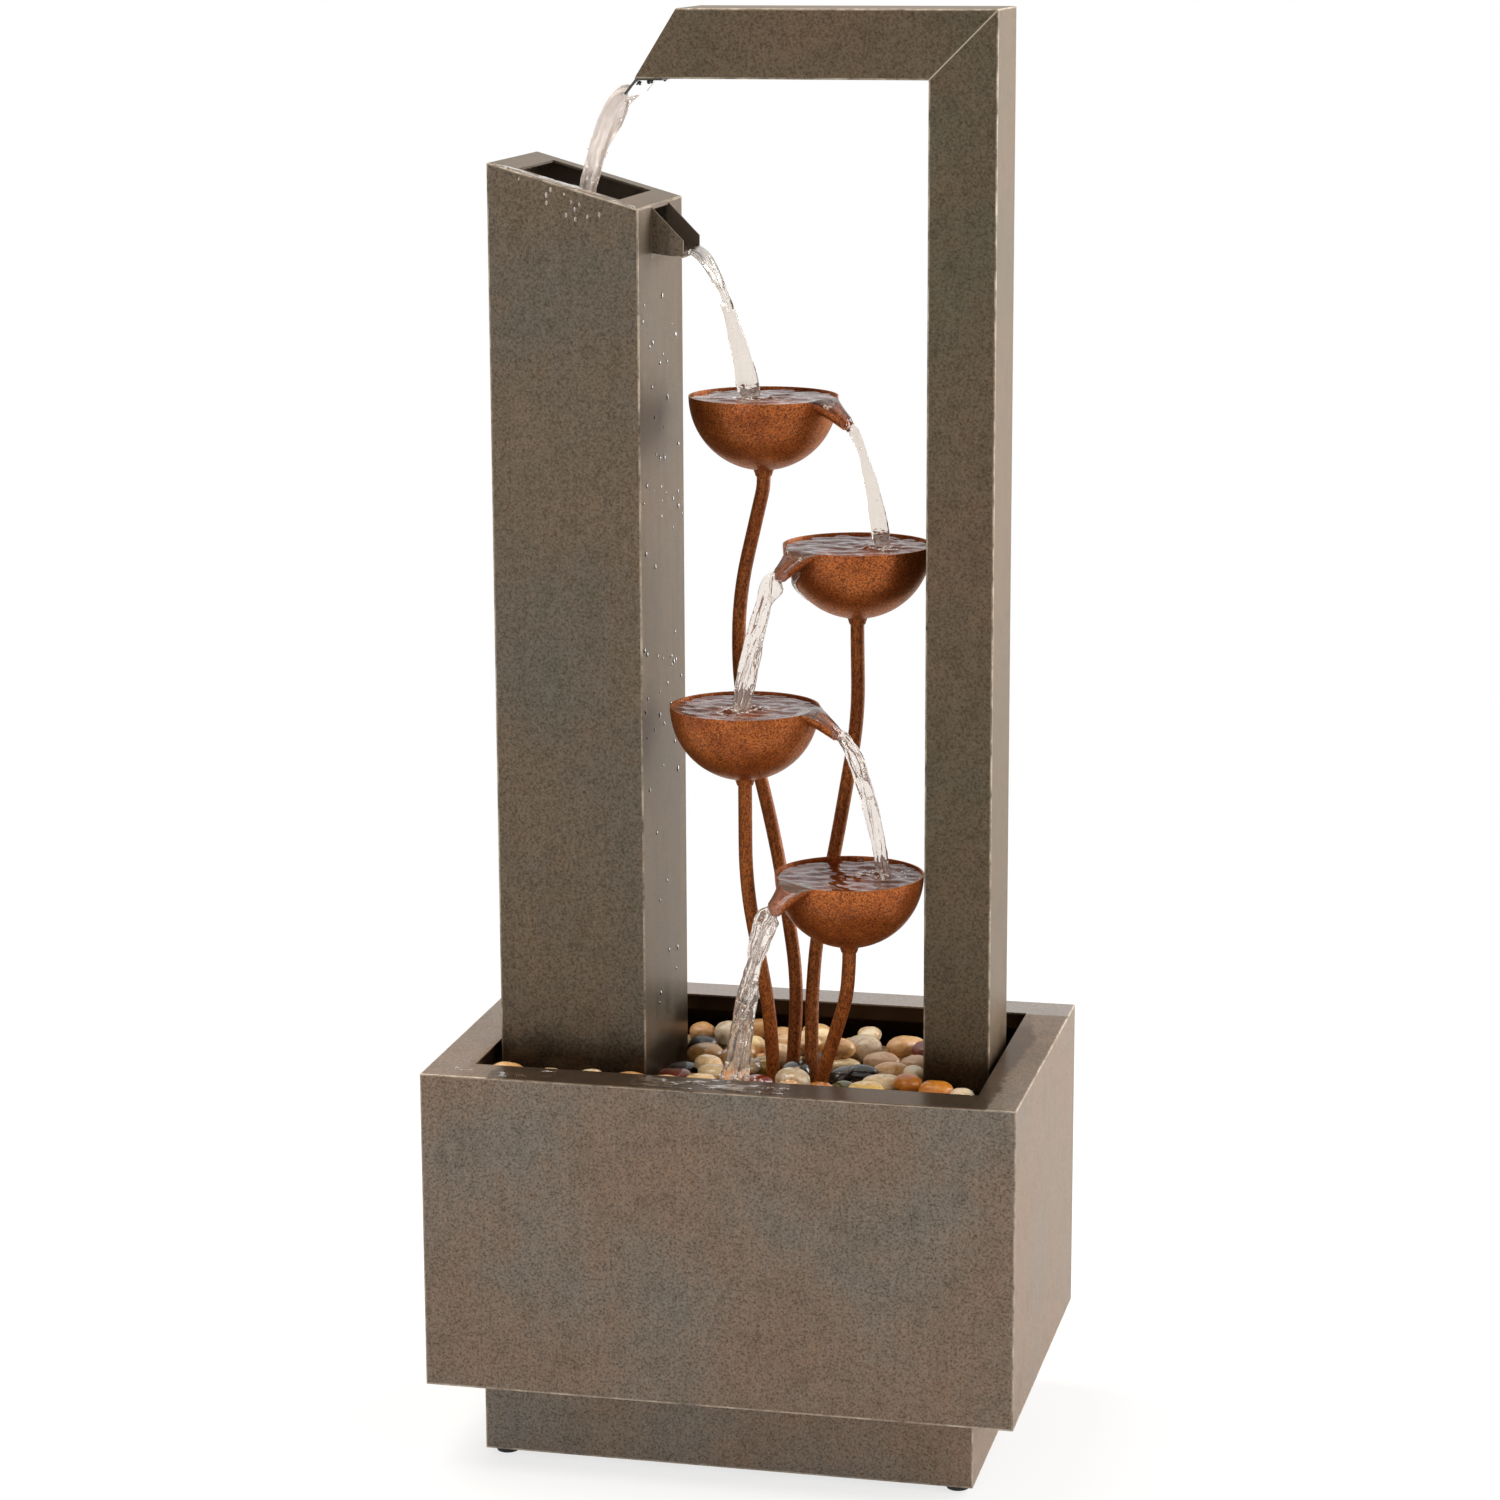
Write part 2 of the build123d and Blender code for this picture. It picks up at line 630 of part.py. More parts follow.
def make_hose():
    """Riser hose from the pump's nozzle up the post and along the arm, with its clips, clamp and grommet."""
    start = (hose_x, 0, volute_top + cage_wall + 2 * seat_gap)
    corner = (hose_x, 0, hose_top_z)
    end = (hose_end_x, 0, hose_top_z)
    route = FilletPolyline(start, corner, end, radius=hose_bend_radius)
    ring = Circle(hose_radius) - Circle(hose_bore_radius)
    parts["riser_hose"] = sweep(Plane(origin=start, z_dir=(0, 0, 1)) * ring, path=route)
    clips = []
    wall_x = arch_outer_x - sheet
    clip_radius = hose_radius + hose_clip_rim
    for share in hose_clip_share:
        middle = deck_top + share * (arm_bottom - deck_top)
        z_span = centred(hose_clip_length, middle)
        clip = rod_z(clip_radius, hose_x, 0, z_span) + block((hose_x, wall_x), centred(2 * hose_clip_rim), z_span)
        clips.append(clip - rod_z(hose_radius, hose_x, 0, (z_span[0] - overrun, z_span[1] + overrun)))
    x_span = centred(hose_clip_length, hose_end_x + hose_clip_length)
    clip = rod_x(clip_radius, x_span, 0, hose_top_z)
    clip += block(x_span, centred(2 * hose_clip_rim), (hose_top_z, arch_top - sheet))
    clips.append(clip - rod_x(hose_radius, (x_span[0] - overrun, x_span[1] + overrun), 0, hose_top_z))
    parts["hose_clips"] = clips
    clamp_z = centred(hose_clamp_length, volute_top + nozzle_length / 2)
    clamp = rod_z(hose_radius + hose_clamp_wall, hose_x, 0, clamp_z)
    screw_x = (hose_x + hose_radius, hose_x + hose_radius + hose_clamp_length)
    clamp += block(screw_x, centred(hose_clamp_length), centred(hose_clamp_length - 2 * hose_clamp_wall,
                                                                volute_top + nozzle_length / 2))
    parts["hose_clamp"] = clamp - rod_z(hose_radius, hose_x, 0, (clamp_z[0] - overrun, clamp_z[1] + overrun))
    sleeve_z = (deck_bottom - grommet_lip, deck_top + thick_plate + grommet_lip)
    sleeve = rod_z(hose_radius + grommet_lip, hose_x, 0, sleeve_z)
    for z_span in ((sleeve_z[0], deck_bottom), (deck_top + thick_plate, sleeve_z[1])):
        sleeve += rod_z(hose_radius + grommet_lip + grommet_flange, hose_x, 0, z_span)
    parts["hose_grommet"] = sleeve - rod_z(hose_radius, hose_x, 0, (sleeve_z[0] - overrun, sleeve_z[1] + overrun))


# Bowls and stems

def spout_outline(distance, height, half_width, depth, cover):
    """Closed gutter outline across a bowl's spout, square to its way out."""
    left, right = (distance, -half_width, height), (distance, half_width, height)
    keel = (distance, 0, height - depth)
    shoulder_y = half_width / sqrt(2)
    shoulder_z = height - depth / sqrt(2)
    bed = [ThreePointArc(left, (distance, -shoulder_y, shoulder_z), keel),
           ThreePointArc(keel, (distance, shoulder_y, shoulder_z), right)]
    walls = [Line(right, (distance, half_width, height + cover)),
             Line((distance, half_width, height + cover), (distance, -half_width, height + cover)),
             Line((distance, -half_width, height + cover), left)]
    return make_face(bed + walls)


def spout_body(grow, cover):
    """Gutter from inside the bowl's rim to the tip of its spout, grown all round by the wall."""
    return loft([spout_outline(bowl_radius + reach, -drop, half_width + grow, depth + grow, cover)
                 for reach, drop, half_width, depth in spout_stations])


def make_bowl(name):
    """Half round bowl, open upwards, with a pinched pouring spout."""
    above = bowl_diameter
    shell = Sphere(bowl_radius) - Sphere(bowl_radius - bowl_wall)
    shell -= block(centred(2 * above), centred(2 * above), (0, above))
    gutter = spout_body(bowl_wall, bowl_wall / 2) - Sphere(bowl_radius - bowl_wall / 2)
    shell = shell + gutter - spout_body(0, above / 2)
    return Pos(*bowl_place[name]) * Rot(0, 0, bowl_spout_angle[name]) * shell


def run_turn(before, point, after):
    """Shorter of two runs that meet at a point, and the angle between them in degrees."""
    first = Vector(*point) - Vector(*before)
    second = Vector(*after) - Vector(*point)
    return min(first.length, second.length), first.get_angle(second)


def smooth_route(points):
    """Straight runs through the points, joined by arcs as large as the runs allow."""
    radii = []
    for before, point, after in zip(points, points[1:], points[2:]):
        run, turn = run_turn(before, point, after)
        radii.append(bend_arc_share * run / tan(radians(turn) / 2))
    return FilletPolyline(*points, radius=radii)


def stem_points(name):
    """Route of a stem from below the deck to the underside of its bowl."""
    foot_x, foot_y = stem_foot[name]
    bowl_x, bowl_y, rim_z = bowl_place[name]
    top_z = rim_z - bowl_radius
    rise = top_z - stem_plate_top
    points = [(foot_x, foot_y, deck_bottom - stem_thread), (foot_x, foot_y, stem_plate_top + stem_foot_straight)]
    for share, drift_x, drift_y in stem_bend_shares[name]:
        points.append((foot_x + share * (bowl_x - foot_x) + drift_x * rise,
                       foot_y + share * (bowl_y - foot_y) + drift_y * rise, stem_plate_top + share * rise))
    return points + [(bowl_x, bowl_y, top_z - stem_straight), (bowl_x, bowl_y, top_z)]


def make_stem(name):
    """Round bar bent along its route."""
    points = stem_points(name)
    start = Plane(origin=points[0], z_dir=(0, 0, 1))
    return sweep(start * Circle(stem_radius), path=smooth_route(points))


def make_collar(name, stem):
    """Weld collar that spreads the stem's top under its bowl."""
    x, y, rim_z = bowl_place[name]
    bowl_bottom = rim_z - bowl_radius
    top = bowl_bottom + collar_rise
    collar = Pos(x, y, top - collar_height / 2) * Cone(stem_radius + sheet / 2, collar_radius, collar_height)
    return collar - Pos(x, y, rim_z) * Sphere(bowl_radius) - stem


def make_stem_plate():
    """Plate on the deck that all four stems pass through."""
    spans = stem_plate_spans()
    cut_z = (deck_top - overrun, stem_plate_top + overrun)
    plate = round_edges(block(*spans, (deck_top, stem_plate_top)), Axis.Z)
    for x, y in stem_foot.values():
        plate -= rod_z(stem_radius, x, y, cut_z)
    for x, y in bolt_places(*spans, 2 * bolt_radius):
        plate -= rod_z(bolt_radius, x, y, cut_z)
    parts["stem_plate"] = plate


def make_tiers():
    """The four bowls with their stems, collars and nuts."""
    collars = []
    nuts = []
    nut_z = (deck_bottom - stem_nut_height, deck_bottom)
    for name in bowl_place:
        stem = make_stem(name)
        parts[name] = make_bowl(name)
        parts[name.replace("bowl", "stem")] = stem
        collars.append(make_collar(name, stem))
        x, y = stem_foot[name]
        nuts.append(hex_z(stem_nut_flats, x, y, nut_z) - rod_z(stem_radius, x, y, (nut_z[0] - overrun, deck_top)))
    parts["stem_collars"] = collars
    parts["stem_nuts"] = nuts
    make_stem_plate()


# Pump

def make_pump_body():
    """Potted motor housing on suction cups, with the gland for its lead."""
    x_span = (volute_back_x - pump_length, volute_back_x)
    z_span = centred(pump_height, pump_axis_z)
    body = block(x_span, centred(pump_width), z_span)
    body = fillet(body.edges().filter_by(Axis.X), pump_corner_radius)
    body = fillet(body.faces().sort_by(Axis.X)[0].edges(), pump_corner_radius / 2)
    body -= rod_x(rotor_bore_radius, (rotor_end_x, volute_back_x + overrun), 0, pump_axis_z)
    body -= rod_x(bush_radius, (rotor_end_x - bush_pocket, rotor_end_x + overrun), 0, pump_axis_z)
    parts["pump_housing"] = body
    cups = []
    for x in (x_span[0] + cup_inset, x_span[1] - cup_inset):
        for y in centred(pump_width - 2 * cup_inset):
            cups.append(Pos(x, y, floor_top + cup_height / 2) * Cone(cup_radius, cup_neck_radius, cup_height))
    parts["pump_suction_cups"] = cups
    gland = rod_x(gland_radius, (x_span[0] - gland_length, x_span[0]), 0, pump_axis_z)
    gland = chamfer(gland.faces().sort_by(Axis.X)[0].edges(), gland_radius / 4)
    parts["pump_cable_gland"] = gland - rod_x(gland_bore_radius, (x_span[0] - gland_length - overrun, x_span[0]), 0,
                                              pump_axis_z)


def make_volute():
    """Impeller chamber with the nozzle that the hose is pushed on."""
    x_span = (volute_back_x, volute_front_x)
    volute = block(x_span, centred(volute_width), centred(volute_height, pump_axis_z))
    volute = fillet(volute.edges().filter_by(Axis.X), pump_corner_radius)
    volute += rod_z(hose_bore_radius, hose_x, 0, (volute_top - overrun, volute_top + nozzle_length))
    volute -= rod_x(chamber_radius, (x_span[0] - overrun, x_span[1] + overrun), 0, pump_axis_z)
    volute -= rod_z(nozzle_bore_radius, hose_x, 0, (pump_axis_z, volute_top + nozzle_length + overrun))
    parts["pump_volute"] = volute
    plate = block((x_span[1], faceplate_front_x), centred(volute_width), centred(volute_height, pump_axis_z))
    plate = fillet(plate.edges().filter_by(Axis.X), pump_corner_radius)
    plate -= rod_x(eye_radius, (x_span[1] - overrun, faceplate_front_x + overrun), 0, pump_axis_z)
    hub = rod_x(bush_radius, (x_span[1], faceplate_front_x), 0, pump_axis_z)
    for arm in range(spider_arms):
        spoke = block((x_span[1], faceplate_front_x), centred(spider_width), (0, eye_radius + sheet))
        hub += Pos(0, 0, pump_axis_z) * Rot(arm * 360 / spider_arms, 0, 0) * spoke
    hole = rod_x(bush_radius - sheet, (x_span[1] - overrun, faceplate_front_x + overrun), 0, pump_axis_z)
    parts["pump_faceplate"] = plate + hub - hole


def make_rotor():
    """Magnet and impeller that turn together on a fixed ceramic shaft held in two rubber bushes."""
    shaft_bore = shaft_radius + slip_fit
    rear_bush_x = (rotor_end_x - bush_pocket, rotor_end_x - bush_pocket + bush_length)
    front_bush_x = (volute_front_x, faceplate_front_x)
    through = (rotor_end_x - overrun, faceplate_front_x + overrun)
    rear = rod_x(bush_radius, rear_bush_x, 0, pump_axis_z)
    front = rod_x(bush_radius - sheet, front_bush_x, 0, pump_axis_z)
    shaft_x = (rear_bush_x[0] + sheet, front_bush_x[1])
    parts["pump_bushes"] = [bush - rod_x(shaft_radius, (shaft_x[0], through[1]), 0, pump_axis_z)
                            for bush in (rear, front)]
    parts["pump_shaft"] = rod_x(shaft_radius, shaft_x, 0, pump_axis_z)
    magnet_x = (rear_bush_x[1] + rotor_gap, rear_bush_x[1] + rotor_gap + magnet_length)
    magnet = chamfer(rod_x(magnet_radius, magnet_x, 0, pump_axis_z).edges(), sheet / 2)
    parts["pump_magnet"] = magnet - rod_x(shaft_bore, through, 0, pump_axis_z)
    disc_x = (volute_back_x + rotor_gap, volute_back_x + rotor_gap + impeller_disc)
    tip_x = volute_back_x + rotor_gap + impeller_length
    impeller = rod_x(impeller_hub_radius, (magnet_x[1], tip_x), 0, pump_axis_z)
    impeller += rod_x(impeller_radius, disc_x, 0, pump_axis_z)
    for vane in range(impeller_vanes):
        blade = block((disc_x[0], tip_x), centred(impeller_vane), (0, impeller_radius))
        impeller += Pos(0, 0, pump_axis_z) * Rot(vane * 360 / impeller_vanes, 0, 0) * blade
    parts["pump_impeller"] = impeller - rod_x(shaft_bore, through, 0, pump_axis_z)


def make_intake_cage():
    """Slotted intake cage that pulls off the chamber, and its flow dial."""
    x_span = (volute_front_x - cage_overlap, cage_front_x)
    inner = (volute_width + 2 * seat_gap, volute_height + 2 * seat_gap)
    outer = [size + 2 * cage_wall for size in inner]
    cage = block(x_span, centred(outer[0]), centred(outer[1], pump_axis_z))
    cage = fillet(cage.edges().filter_by(Axis.X), pump_corner_radius + cage_wall + seat_gap)
    hollow = block((x_span[0] - overrun, cage_front_x - cage_wall), centred(inner[0]), centred(inner[1], pump_axis_z))
    cage -= fillet(hollow.edges().filter_by(Axis.X), pump_corner_radius + seat_gap)
    slot_x = (faceplate_front_x + cage_wall, cage_front_x - 2 * cage_wall)
    slot_pitch = inner[0] / (cage_slots + 1)
    for index in range(cage_slots):
        offset = (index - (cage_slots - 1) / 2) * slot_pitch
        tall = centred(outer[1] + overrun, pump_axis_z)
        cage -= block(slot_x, centred(cage_slot_width, offset), tall)
        cage -= block(slot_x, centred(outer[0] + overrun), centred(cage_slot_width, pump_axis_z + offset))
    front_x = (cage_front_x - cage_wall - overrun / 2, cage_front_x + overrun)
    cage -= rod_x(dial_pin_radius + slip_fit, front_x, 0, pump_axis_z)
    ports = [(dial_port_ring * cos(2 * pi * n / dial_ports), dial_port_ring * sin(2 * pi * n / dial_ports))
             for n in range(dial_ports)]
    for y, z in ports:
        cage -= rod_x(dial_port_radius, front_x, y, pump_axis_z + z)
    parts["pump_intake_cage"] = cage
    disc_x = (cage_front_x + seat_gap, cage_front_x + seat_gap + dial_thickness)
    dial = rod_x(dial_radius, disc_x, 0, pump_axis_z)
    dial += block((disc_x[1], disc_x[1] + dial_grip), centred(sheet), centred(2 * dial_pin_radius + dial_grip,
                                                                              pump_axis_z))
    back_x = cage_front_x - cage_wall - seat_gap
    dial += rod_x(dial_pin_radius, (back_x - sheet, disc_x[1]), 0, pump_axis_z)
    dial += rod_x(dial_head_radius, (back_x - sheet, back_x), 0, pump_axis_z)
    for y, z in ports:
        dial -= rod_x(dial_port_radius, (disc_x[0] - seat_gap / 2, disc_x[1] + overrun), y, pump_axis_z + z)
    parts["pump_flow_dial"] = dial


# Pebbles

def stem_at(name, z):
    """Centre of a stem at a height in the pebble bed."""
    low, high = [point for point in stem_points(name)[1:3]]
    share = max(0, (z - low[2]) / (high[2] - low[2]))
    return tuple(low[i] + share * (high[i] - low[i]) for i in (0, 1))


def bed_obstacles():
    """Upright discs that stand for the stems in the pebble bed."""
    levels = [stem_plate_top, (stem_plate_top + basin_top) / 2, basin_top]
    return [stem_at(name, z) for name in bowl_place for z in levels]


def floor_level(x, y):
    """Height of the plate or deck under a point."""
    if inside(x, y, stem_plate_spans(), pebble_step_gap):
        return stem_plate_top
    if inside(x, y, hatch_spans(), pebble_step_gap):
        return deck_top + sheet
    return deck_top


def bed_blocked(x, y, obstacles):
    """Whether a point lies in the column, the arch, a bolt head or a stem, or out of the basin's mouth."""
    column = (column_left, column_right), centred(column_depth)
    arch = (arch_inner_x, arch_outer_x), centred(arch_depth)
    if inside(x, y, column, pebble_edge_gap) or inside(x, y, arch, pebble_edge_gap):
        return True
    if not inside(x, y, (centred(mouth_width), centred(mouth_depth)), -pebble_edge_gap):
        return True
    if any(hypot(x - bx, y - by) < bolt_head_flats for bx, by in bolt_places(*stem_plate_spans(), 2 * bolt_radius)):
        return True
    return any(hypot(x - sx, y - sy) < stem_radius + pebble_edge_gap for sx, sy in obstacles)


def pebble_samples(half):
    """Points of a pebble's plan, each with how far its underside lies below its middle."""
    length, width, height, spin = half
    samples = [(0, 0, height)]
    for ring in range(1, pebble_rings + 1):
        reach = sin(pi / 2 * ring / pebble_rings)
        for spoke in range(pebble_spokes):
            turn = 2 * pi * spoke / pebble_spokes
            u, v = length * reach * cos(turn), width * reach * sin(turn)
            x, y = u * cos(spin) - v * sin(spin), u * sin(spin) + v * cos(spin)
            samples.append((x, y, height * sqrt(max(0, 1 - reach * reach))))
    return samples


def pebble_top(pebble, x, y):
    """Height of a laid pebble's upper surface over a point, or None beside it."""
    px, py, pz, (length, width, height, spin) = pebble
    dx, dy = x - px, y - py
    u = (dx * cos(spin) + dy * sin(spin)) / (length + pebble_gap)
    v = (dy * cos(spin) - dx * sin(spin)) / (width + pebble_gap)
    inner = 1 - u * u - v * v
    return pz + (height + pebble_gap) * sqrt(inner) if inner > 0 else None


def rest_height(x, y, samples, reach, laid, obstacles):
    """Height at which a dropped pebble comes to rest, or None where it can't lie."""
    near = [pebble for pebble in laid if hypot(pebble[0] - x, pebble[1] - y) < reach + pebble[3][0] + pebble_gap]
    height = deck_top
    for dx, dy, depth in samples:
        if bed_blocked(x + dx, y + dy, obstacles):
            return None
        height = max(height, floor_level(x + dx, y + dy) + depth)
        for pebble in near:
            top = pebble_top(pebble, x + dx, y + dy)
            if top is not None:
                height = max(height, top + depth)
    return height


def lay_pebbles():
    """Drop pebbles one by one, each at the lowest of several places, until the bed is full."""
    random = Random(pebble_seed)
    obstacles = bed_obstacles()
    laid = []
    misses = 0
    while len(laid) < pebble_limit_count and misses < pebble_patience:
        length = random.uniform(*pebble_half_length)
        half = (length, length * random.uniform(*pebble_width_share), length * random.uniform(*pebble_height_share),
                random.uniform(0, pi))
        samples = pebble_samples(half)
        best = None
        for _ in range(pebble_tries):
            x = random.uniform(-mouth_width / 2, mouth_width / 2)
            y = random.uniform(-mouth_depth / 2, mouth_depth / 2)
            z = rest_height(x, y, samples, length, laid, obstacles)
            if z is None:
                continue
            back_share = y / mouth_depth + 1 / 2
            limit = basin_top - pebble_front_drop - back_share * (pebble_back_drop - pebble_front_drop)
            if z + half[2] < limit and (best is None or z < best[2]):
                best = (x, y, z, half)
        if best:
            laid.append(best)
        misses = 0 if best else misses + 1
    return laid


def nearest(laid, share_x, share_y):
    """The topmost pebble near a place given as shares of half the basin's width and depth."""
    x, y = share_x * basin_width / 2, share_y * basin_depth / 2
    return min(laid, key=lambda pebble: hypot(pebble[0] - x, pebble[1] - y) - pebble[2] + deck_top)


def pebble_solid(pebble):
    """Smooth river stone as an ellipsoid."""
    x, y, z, (length, width, height, spin) = pebble
    return Pos(x, y, z) * Rot(0, 0, spin * 180 / pi) * scale(Sphere(1), by=(length, width, height))


def make_pebbles():
    """The pebble bed, one node for each colour."""
    laid = lay_pebbles()
    dark = [nearest(laid, *shares) for shares in dark_pebble_shares]
    amber = [nearest(laid, *shares) for shares in amber_pebble_shares]
    random = Random(pebble_seed)
    groups = {"dark": [], "amber": [], "grey": [], "tan": [], "cream": []}
    for pebble in laid:
        draw = random.random()
        if pebble in dark:
            colour = "dark"
        elif pebble in amber:
            colour = "amber"
        elif draw < grey_share:
            colour = "grey"
        elif draw < grey_share + tan_share:
            colour = "tan"
        else:
            colour = "cream"
        groups[colour].append(pebble_solid(pebble))
    for colour, solids in groups.items():
        parts["pebbles_" + colour] = solids


def write_parts():
    """Write one file for each named part."""
    os.makedirs("parts", exist_ok=True)
    for name, shape in parts.items():
        solids = [solid for item in shape for solid in item.solids()] if isinstance(shape, list) else shape.solids()
        export_step(Compound(label=name, children=list(solids)) if len(solids) > 1 else solids[0],
                    "parts/" + name + ".step")
        print(name, len(solids))


make_plinth()
make_feet()
make_basin()
make_cable_grommet()
make_deck()
make_deck_bolts()
make_column()
make_chute()
make_trough()
make_column_foot()
make_arch()
make_arm_end()
make_arch_foot()
make_hose()
make_tiers()
make_pump_body()
make_volute()
make_rotor()
make_intake_cage()
make_pebbles()
write_parts()
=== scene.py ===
"""Looks of the tiered metal fountain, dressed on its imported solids.

Lengths are metres unless a name or a comment says millimetres.
"""

import logging
import math
import random
from dataclasses import dataclass, field
from enum import Enum
from typing import ClassVar

import bmesh
import bpy
from mathutils import Matrix, Vector, noise

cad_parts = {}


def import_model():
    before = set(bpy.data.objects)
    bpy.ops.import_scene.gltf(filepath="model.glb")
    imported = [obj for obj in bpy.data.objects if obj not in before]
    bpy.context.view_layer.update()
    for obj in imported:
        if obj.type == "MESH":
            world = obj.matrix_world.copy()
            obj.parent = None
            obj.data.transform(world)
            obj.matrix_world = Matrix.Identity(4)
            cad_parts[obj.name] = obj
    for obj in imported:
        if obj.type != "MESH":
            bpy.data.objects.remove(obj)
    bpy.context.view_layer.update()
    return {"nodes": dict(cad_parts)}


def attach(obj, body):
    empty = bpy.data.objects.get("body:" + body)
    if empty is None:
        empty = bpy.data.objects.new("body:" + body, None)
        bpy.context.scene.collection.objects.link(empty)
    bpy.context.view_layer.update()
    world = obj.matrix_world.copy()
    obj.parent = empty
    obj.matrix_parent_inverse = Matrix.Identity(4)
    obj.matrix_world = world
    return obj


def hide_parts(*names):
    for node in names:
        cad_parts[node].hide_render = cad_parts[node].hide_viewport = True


MM = 0.001
TURN = 2 * math.pi
GRAVITY_MM = 9810.0
FIXED_BODY = "fountain"
BASIN_RIM_MM = 298.5
COLUMN_X_MM = -122.0
COLUMN_RIM_MM = 922.5
COLUMN_SLOPE = -0.2857

Tree = bpy.types.NodeTree
Node = bpy.types.Node
Socket = bpy.types.NodeSocket
Objects = dict[str, bpy.types.Object]
Pair = tuple[float, float]
Triple = tuple[float, float, float]
Rows = tuple[tuple[float, ...], ...]
Stops = tuple[tuple[float, str], ...]

# How a mix of two colours works: the second one over the first, or multiplied with it.
OVER = {"data_type": "RGBA"}
TINT = {"data_type": "RGBA", "blend_type": "MULTIPLY"}

log = logging.getLogger("fountain")


class Slot(Enum):
    """Material slots of the record, one for each kind of the scene's own pieces."""

    WATER = "water"
    DARK = "stone_dark"
    AMBER = "stone_amber"
    GREY = "stone_grey"
    TAN = "stone_tan"
    CREAM = "stone_cream"


def linear(code: str) -> tuple[float, float, float, float]:
    """Turn an sRGB hex code into a linear colour.

    Args:
        code: Six hex digits after a hash.

    Returns:
        Linear red, green, blue and an alpha of 1.
    """
    channels = [int(code[i:i + 2], 16) / 255 for i in (1, 3, 5)]
    straight = [c / 12.92 if c <= 0.04045 else ((c + 0.055) / 1.055) ** 2.4 for c in channels]
    return (*straight, 1.0)


def add(tree: Tree, kind: str, inputs: dict | list | None = None, operation: str = "", stops: Stops = (),
        **settings: str) -> Node:
    """Add a node with its settings and links.

    Args:
        tree: Node tree that takes the node.
        kind: Type name of the node, without its prefix.
        inputs: For each input, in order or by name or number, its value or the node or socket that feeds it.
        operation: What a node that calculates does.
        stops: Place and colour of each stop of a ramp.
        **settings: Value for each attribute.

    Returns:
        The new node.
    """
    node = tree.nodes.new("ShaderNode" + kind)
    if operation:
        node.operation = operation
    for key, value in settings.items():
        setattr(node, key, value)
    for key, value in inputs.items() if isinstance(inputs, dict) else enumerate(inputs or []):
        if isinstance(value, Node):
            value = next(socket for socket in value.outputs if socket.enabled)
        if isinstance(value, Socket):
            tree.links.new(value, node.inputs[key])
        else:
            node.inputs[key].default_value = value
    if stops:
        ramp = node.color_ramp.elements
        while len(ramp) < len(stops):
            ramp.new(0.5)
        for stop, (place, colour) in zip(ramp, stops):
            stop.position = place
            stop.color = linear(colour)
    return node


def per_mm(size_mm: float) -> float:
    """Scale of a noise whose forms have this size."""
    return 1 / (size_mm * MM)


def smooth(low: float, high: float, value: float) -> float:
    """Smooth step from 0 at low to 1 at high."""
    share = min(1.0, max(0.0, (value - low) / (high - low)))
    return share * share * (3 - 2 * share)


def circle(steps: int) -> list[Pair]:
    """Cosine and sine at even steps round a circle."""
    return [(math.cos(TURN * step / steps), math.sin(TURN * step / steps)) for step in range(steps)]


class Finish:
    """Base of every finish: builds its material once and wires its surface to the output.

    Attributes:
        name: Name of the material.
    """

    name: str

    def surface(self, tree: Tree) -> Node:
        """Build the shader in a tree and return it. Each finish has its own."""
        raise NotImplementedError

    def material(self) -> bpy.types.Material:
        """Build the finish's material, or find it if it is built already.

        Returns:
            The material.
        """
        found = bpy.data.materials.get(self.name)
        if found:
            return found
        made = bpy.data.materials.new(self.name)
        made.use_nodes = True
        made.node_tree.nodes.clear()
        add(made.node_tree, "OutputMaterial", {"Surface": self.surface(made.node_tree)})
        return made


@dataclass(frozen=True)
class Shell:
    """Box of a sheet shell, for marks that follow its edges and its inside. Millimetres.

    Attributes:
        low: Lowest corner.
        high: Highest corner.
        slope: Rise of the top for each millimetre along X.
    """

    low: Triple
    high: Triple
    slope: float = 0.0

    def depth(self, tree: Tree, point: Socket, inset_mm: float) -> list[Node]:
        """How far a point lies beyond the box's inset walls, along each axis.

        Args:
            tree: Node tree that takes the nodes.
            point: Place on the surface.
            inset_mm: How far the walls are drawn in.

        Returns:
            One node for each axis, negative between the walls.
        """
        centre = [(a + b) / 2 * MM for a, b in zip(self.low, self.high)]
        half = [((b - a) / 2 - inset_mm) * MM for a, b in zip(self.low, self.high)]
        shifted = add(tree, "VectorMath", [point, centre], "SUBTRACT")
        x, y, z = add(tree, "SeparateXYZ", [shifted]).outputs
        level = add(tree, "Math", [x, -self.slope, z], "MULTIPLY_ADD")
        beyond = []
        for source, reach in zip((x, y, level), half):
            size = add(tree, "Math", [source], "ABSOLUTE")
            beyond.append(add(tree, "Math", [size, reach], "SUBTRACT"))
        return beyond


@dataclass(frozen=True)
class Layer:
    """A pattern that tints what lies below it.

    Attributes:
        size_mm: Size of its forms.
        detail: How many finer patterns lie in it.
        roughness: How strong those are.
        stops: Its colours, from low to high.
        share: How far it tints.
    """

    size_mm: float
    detail: float
    roughness: float
    stops: Stops
    share: float


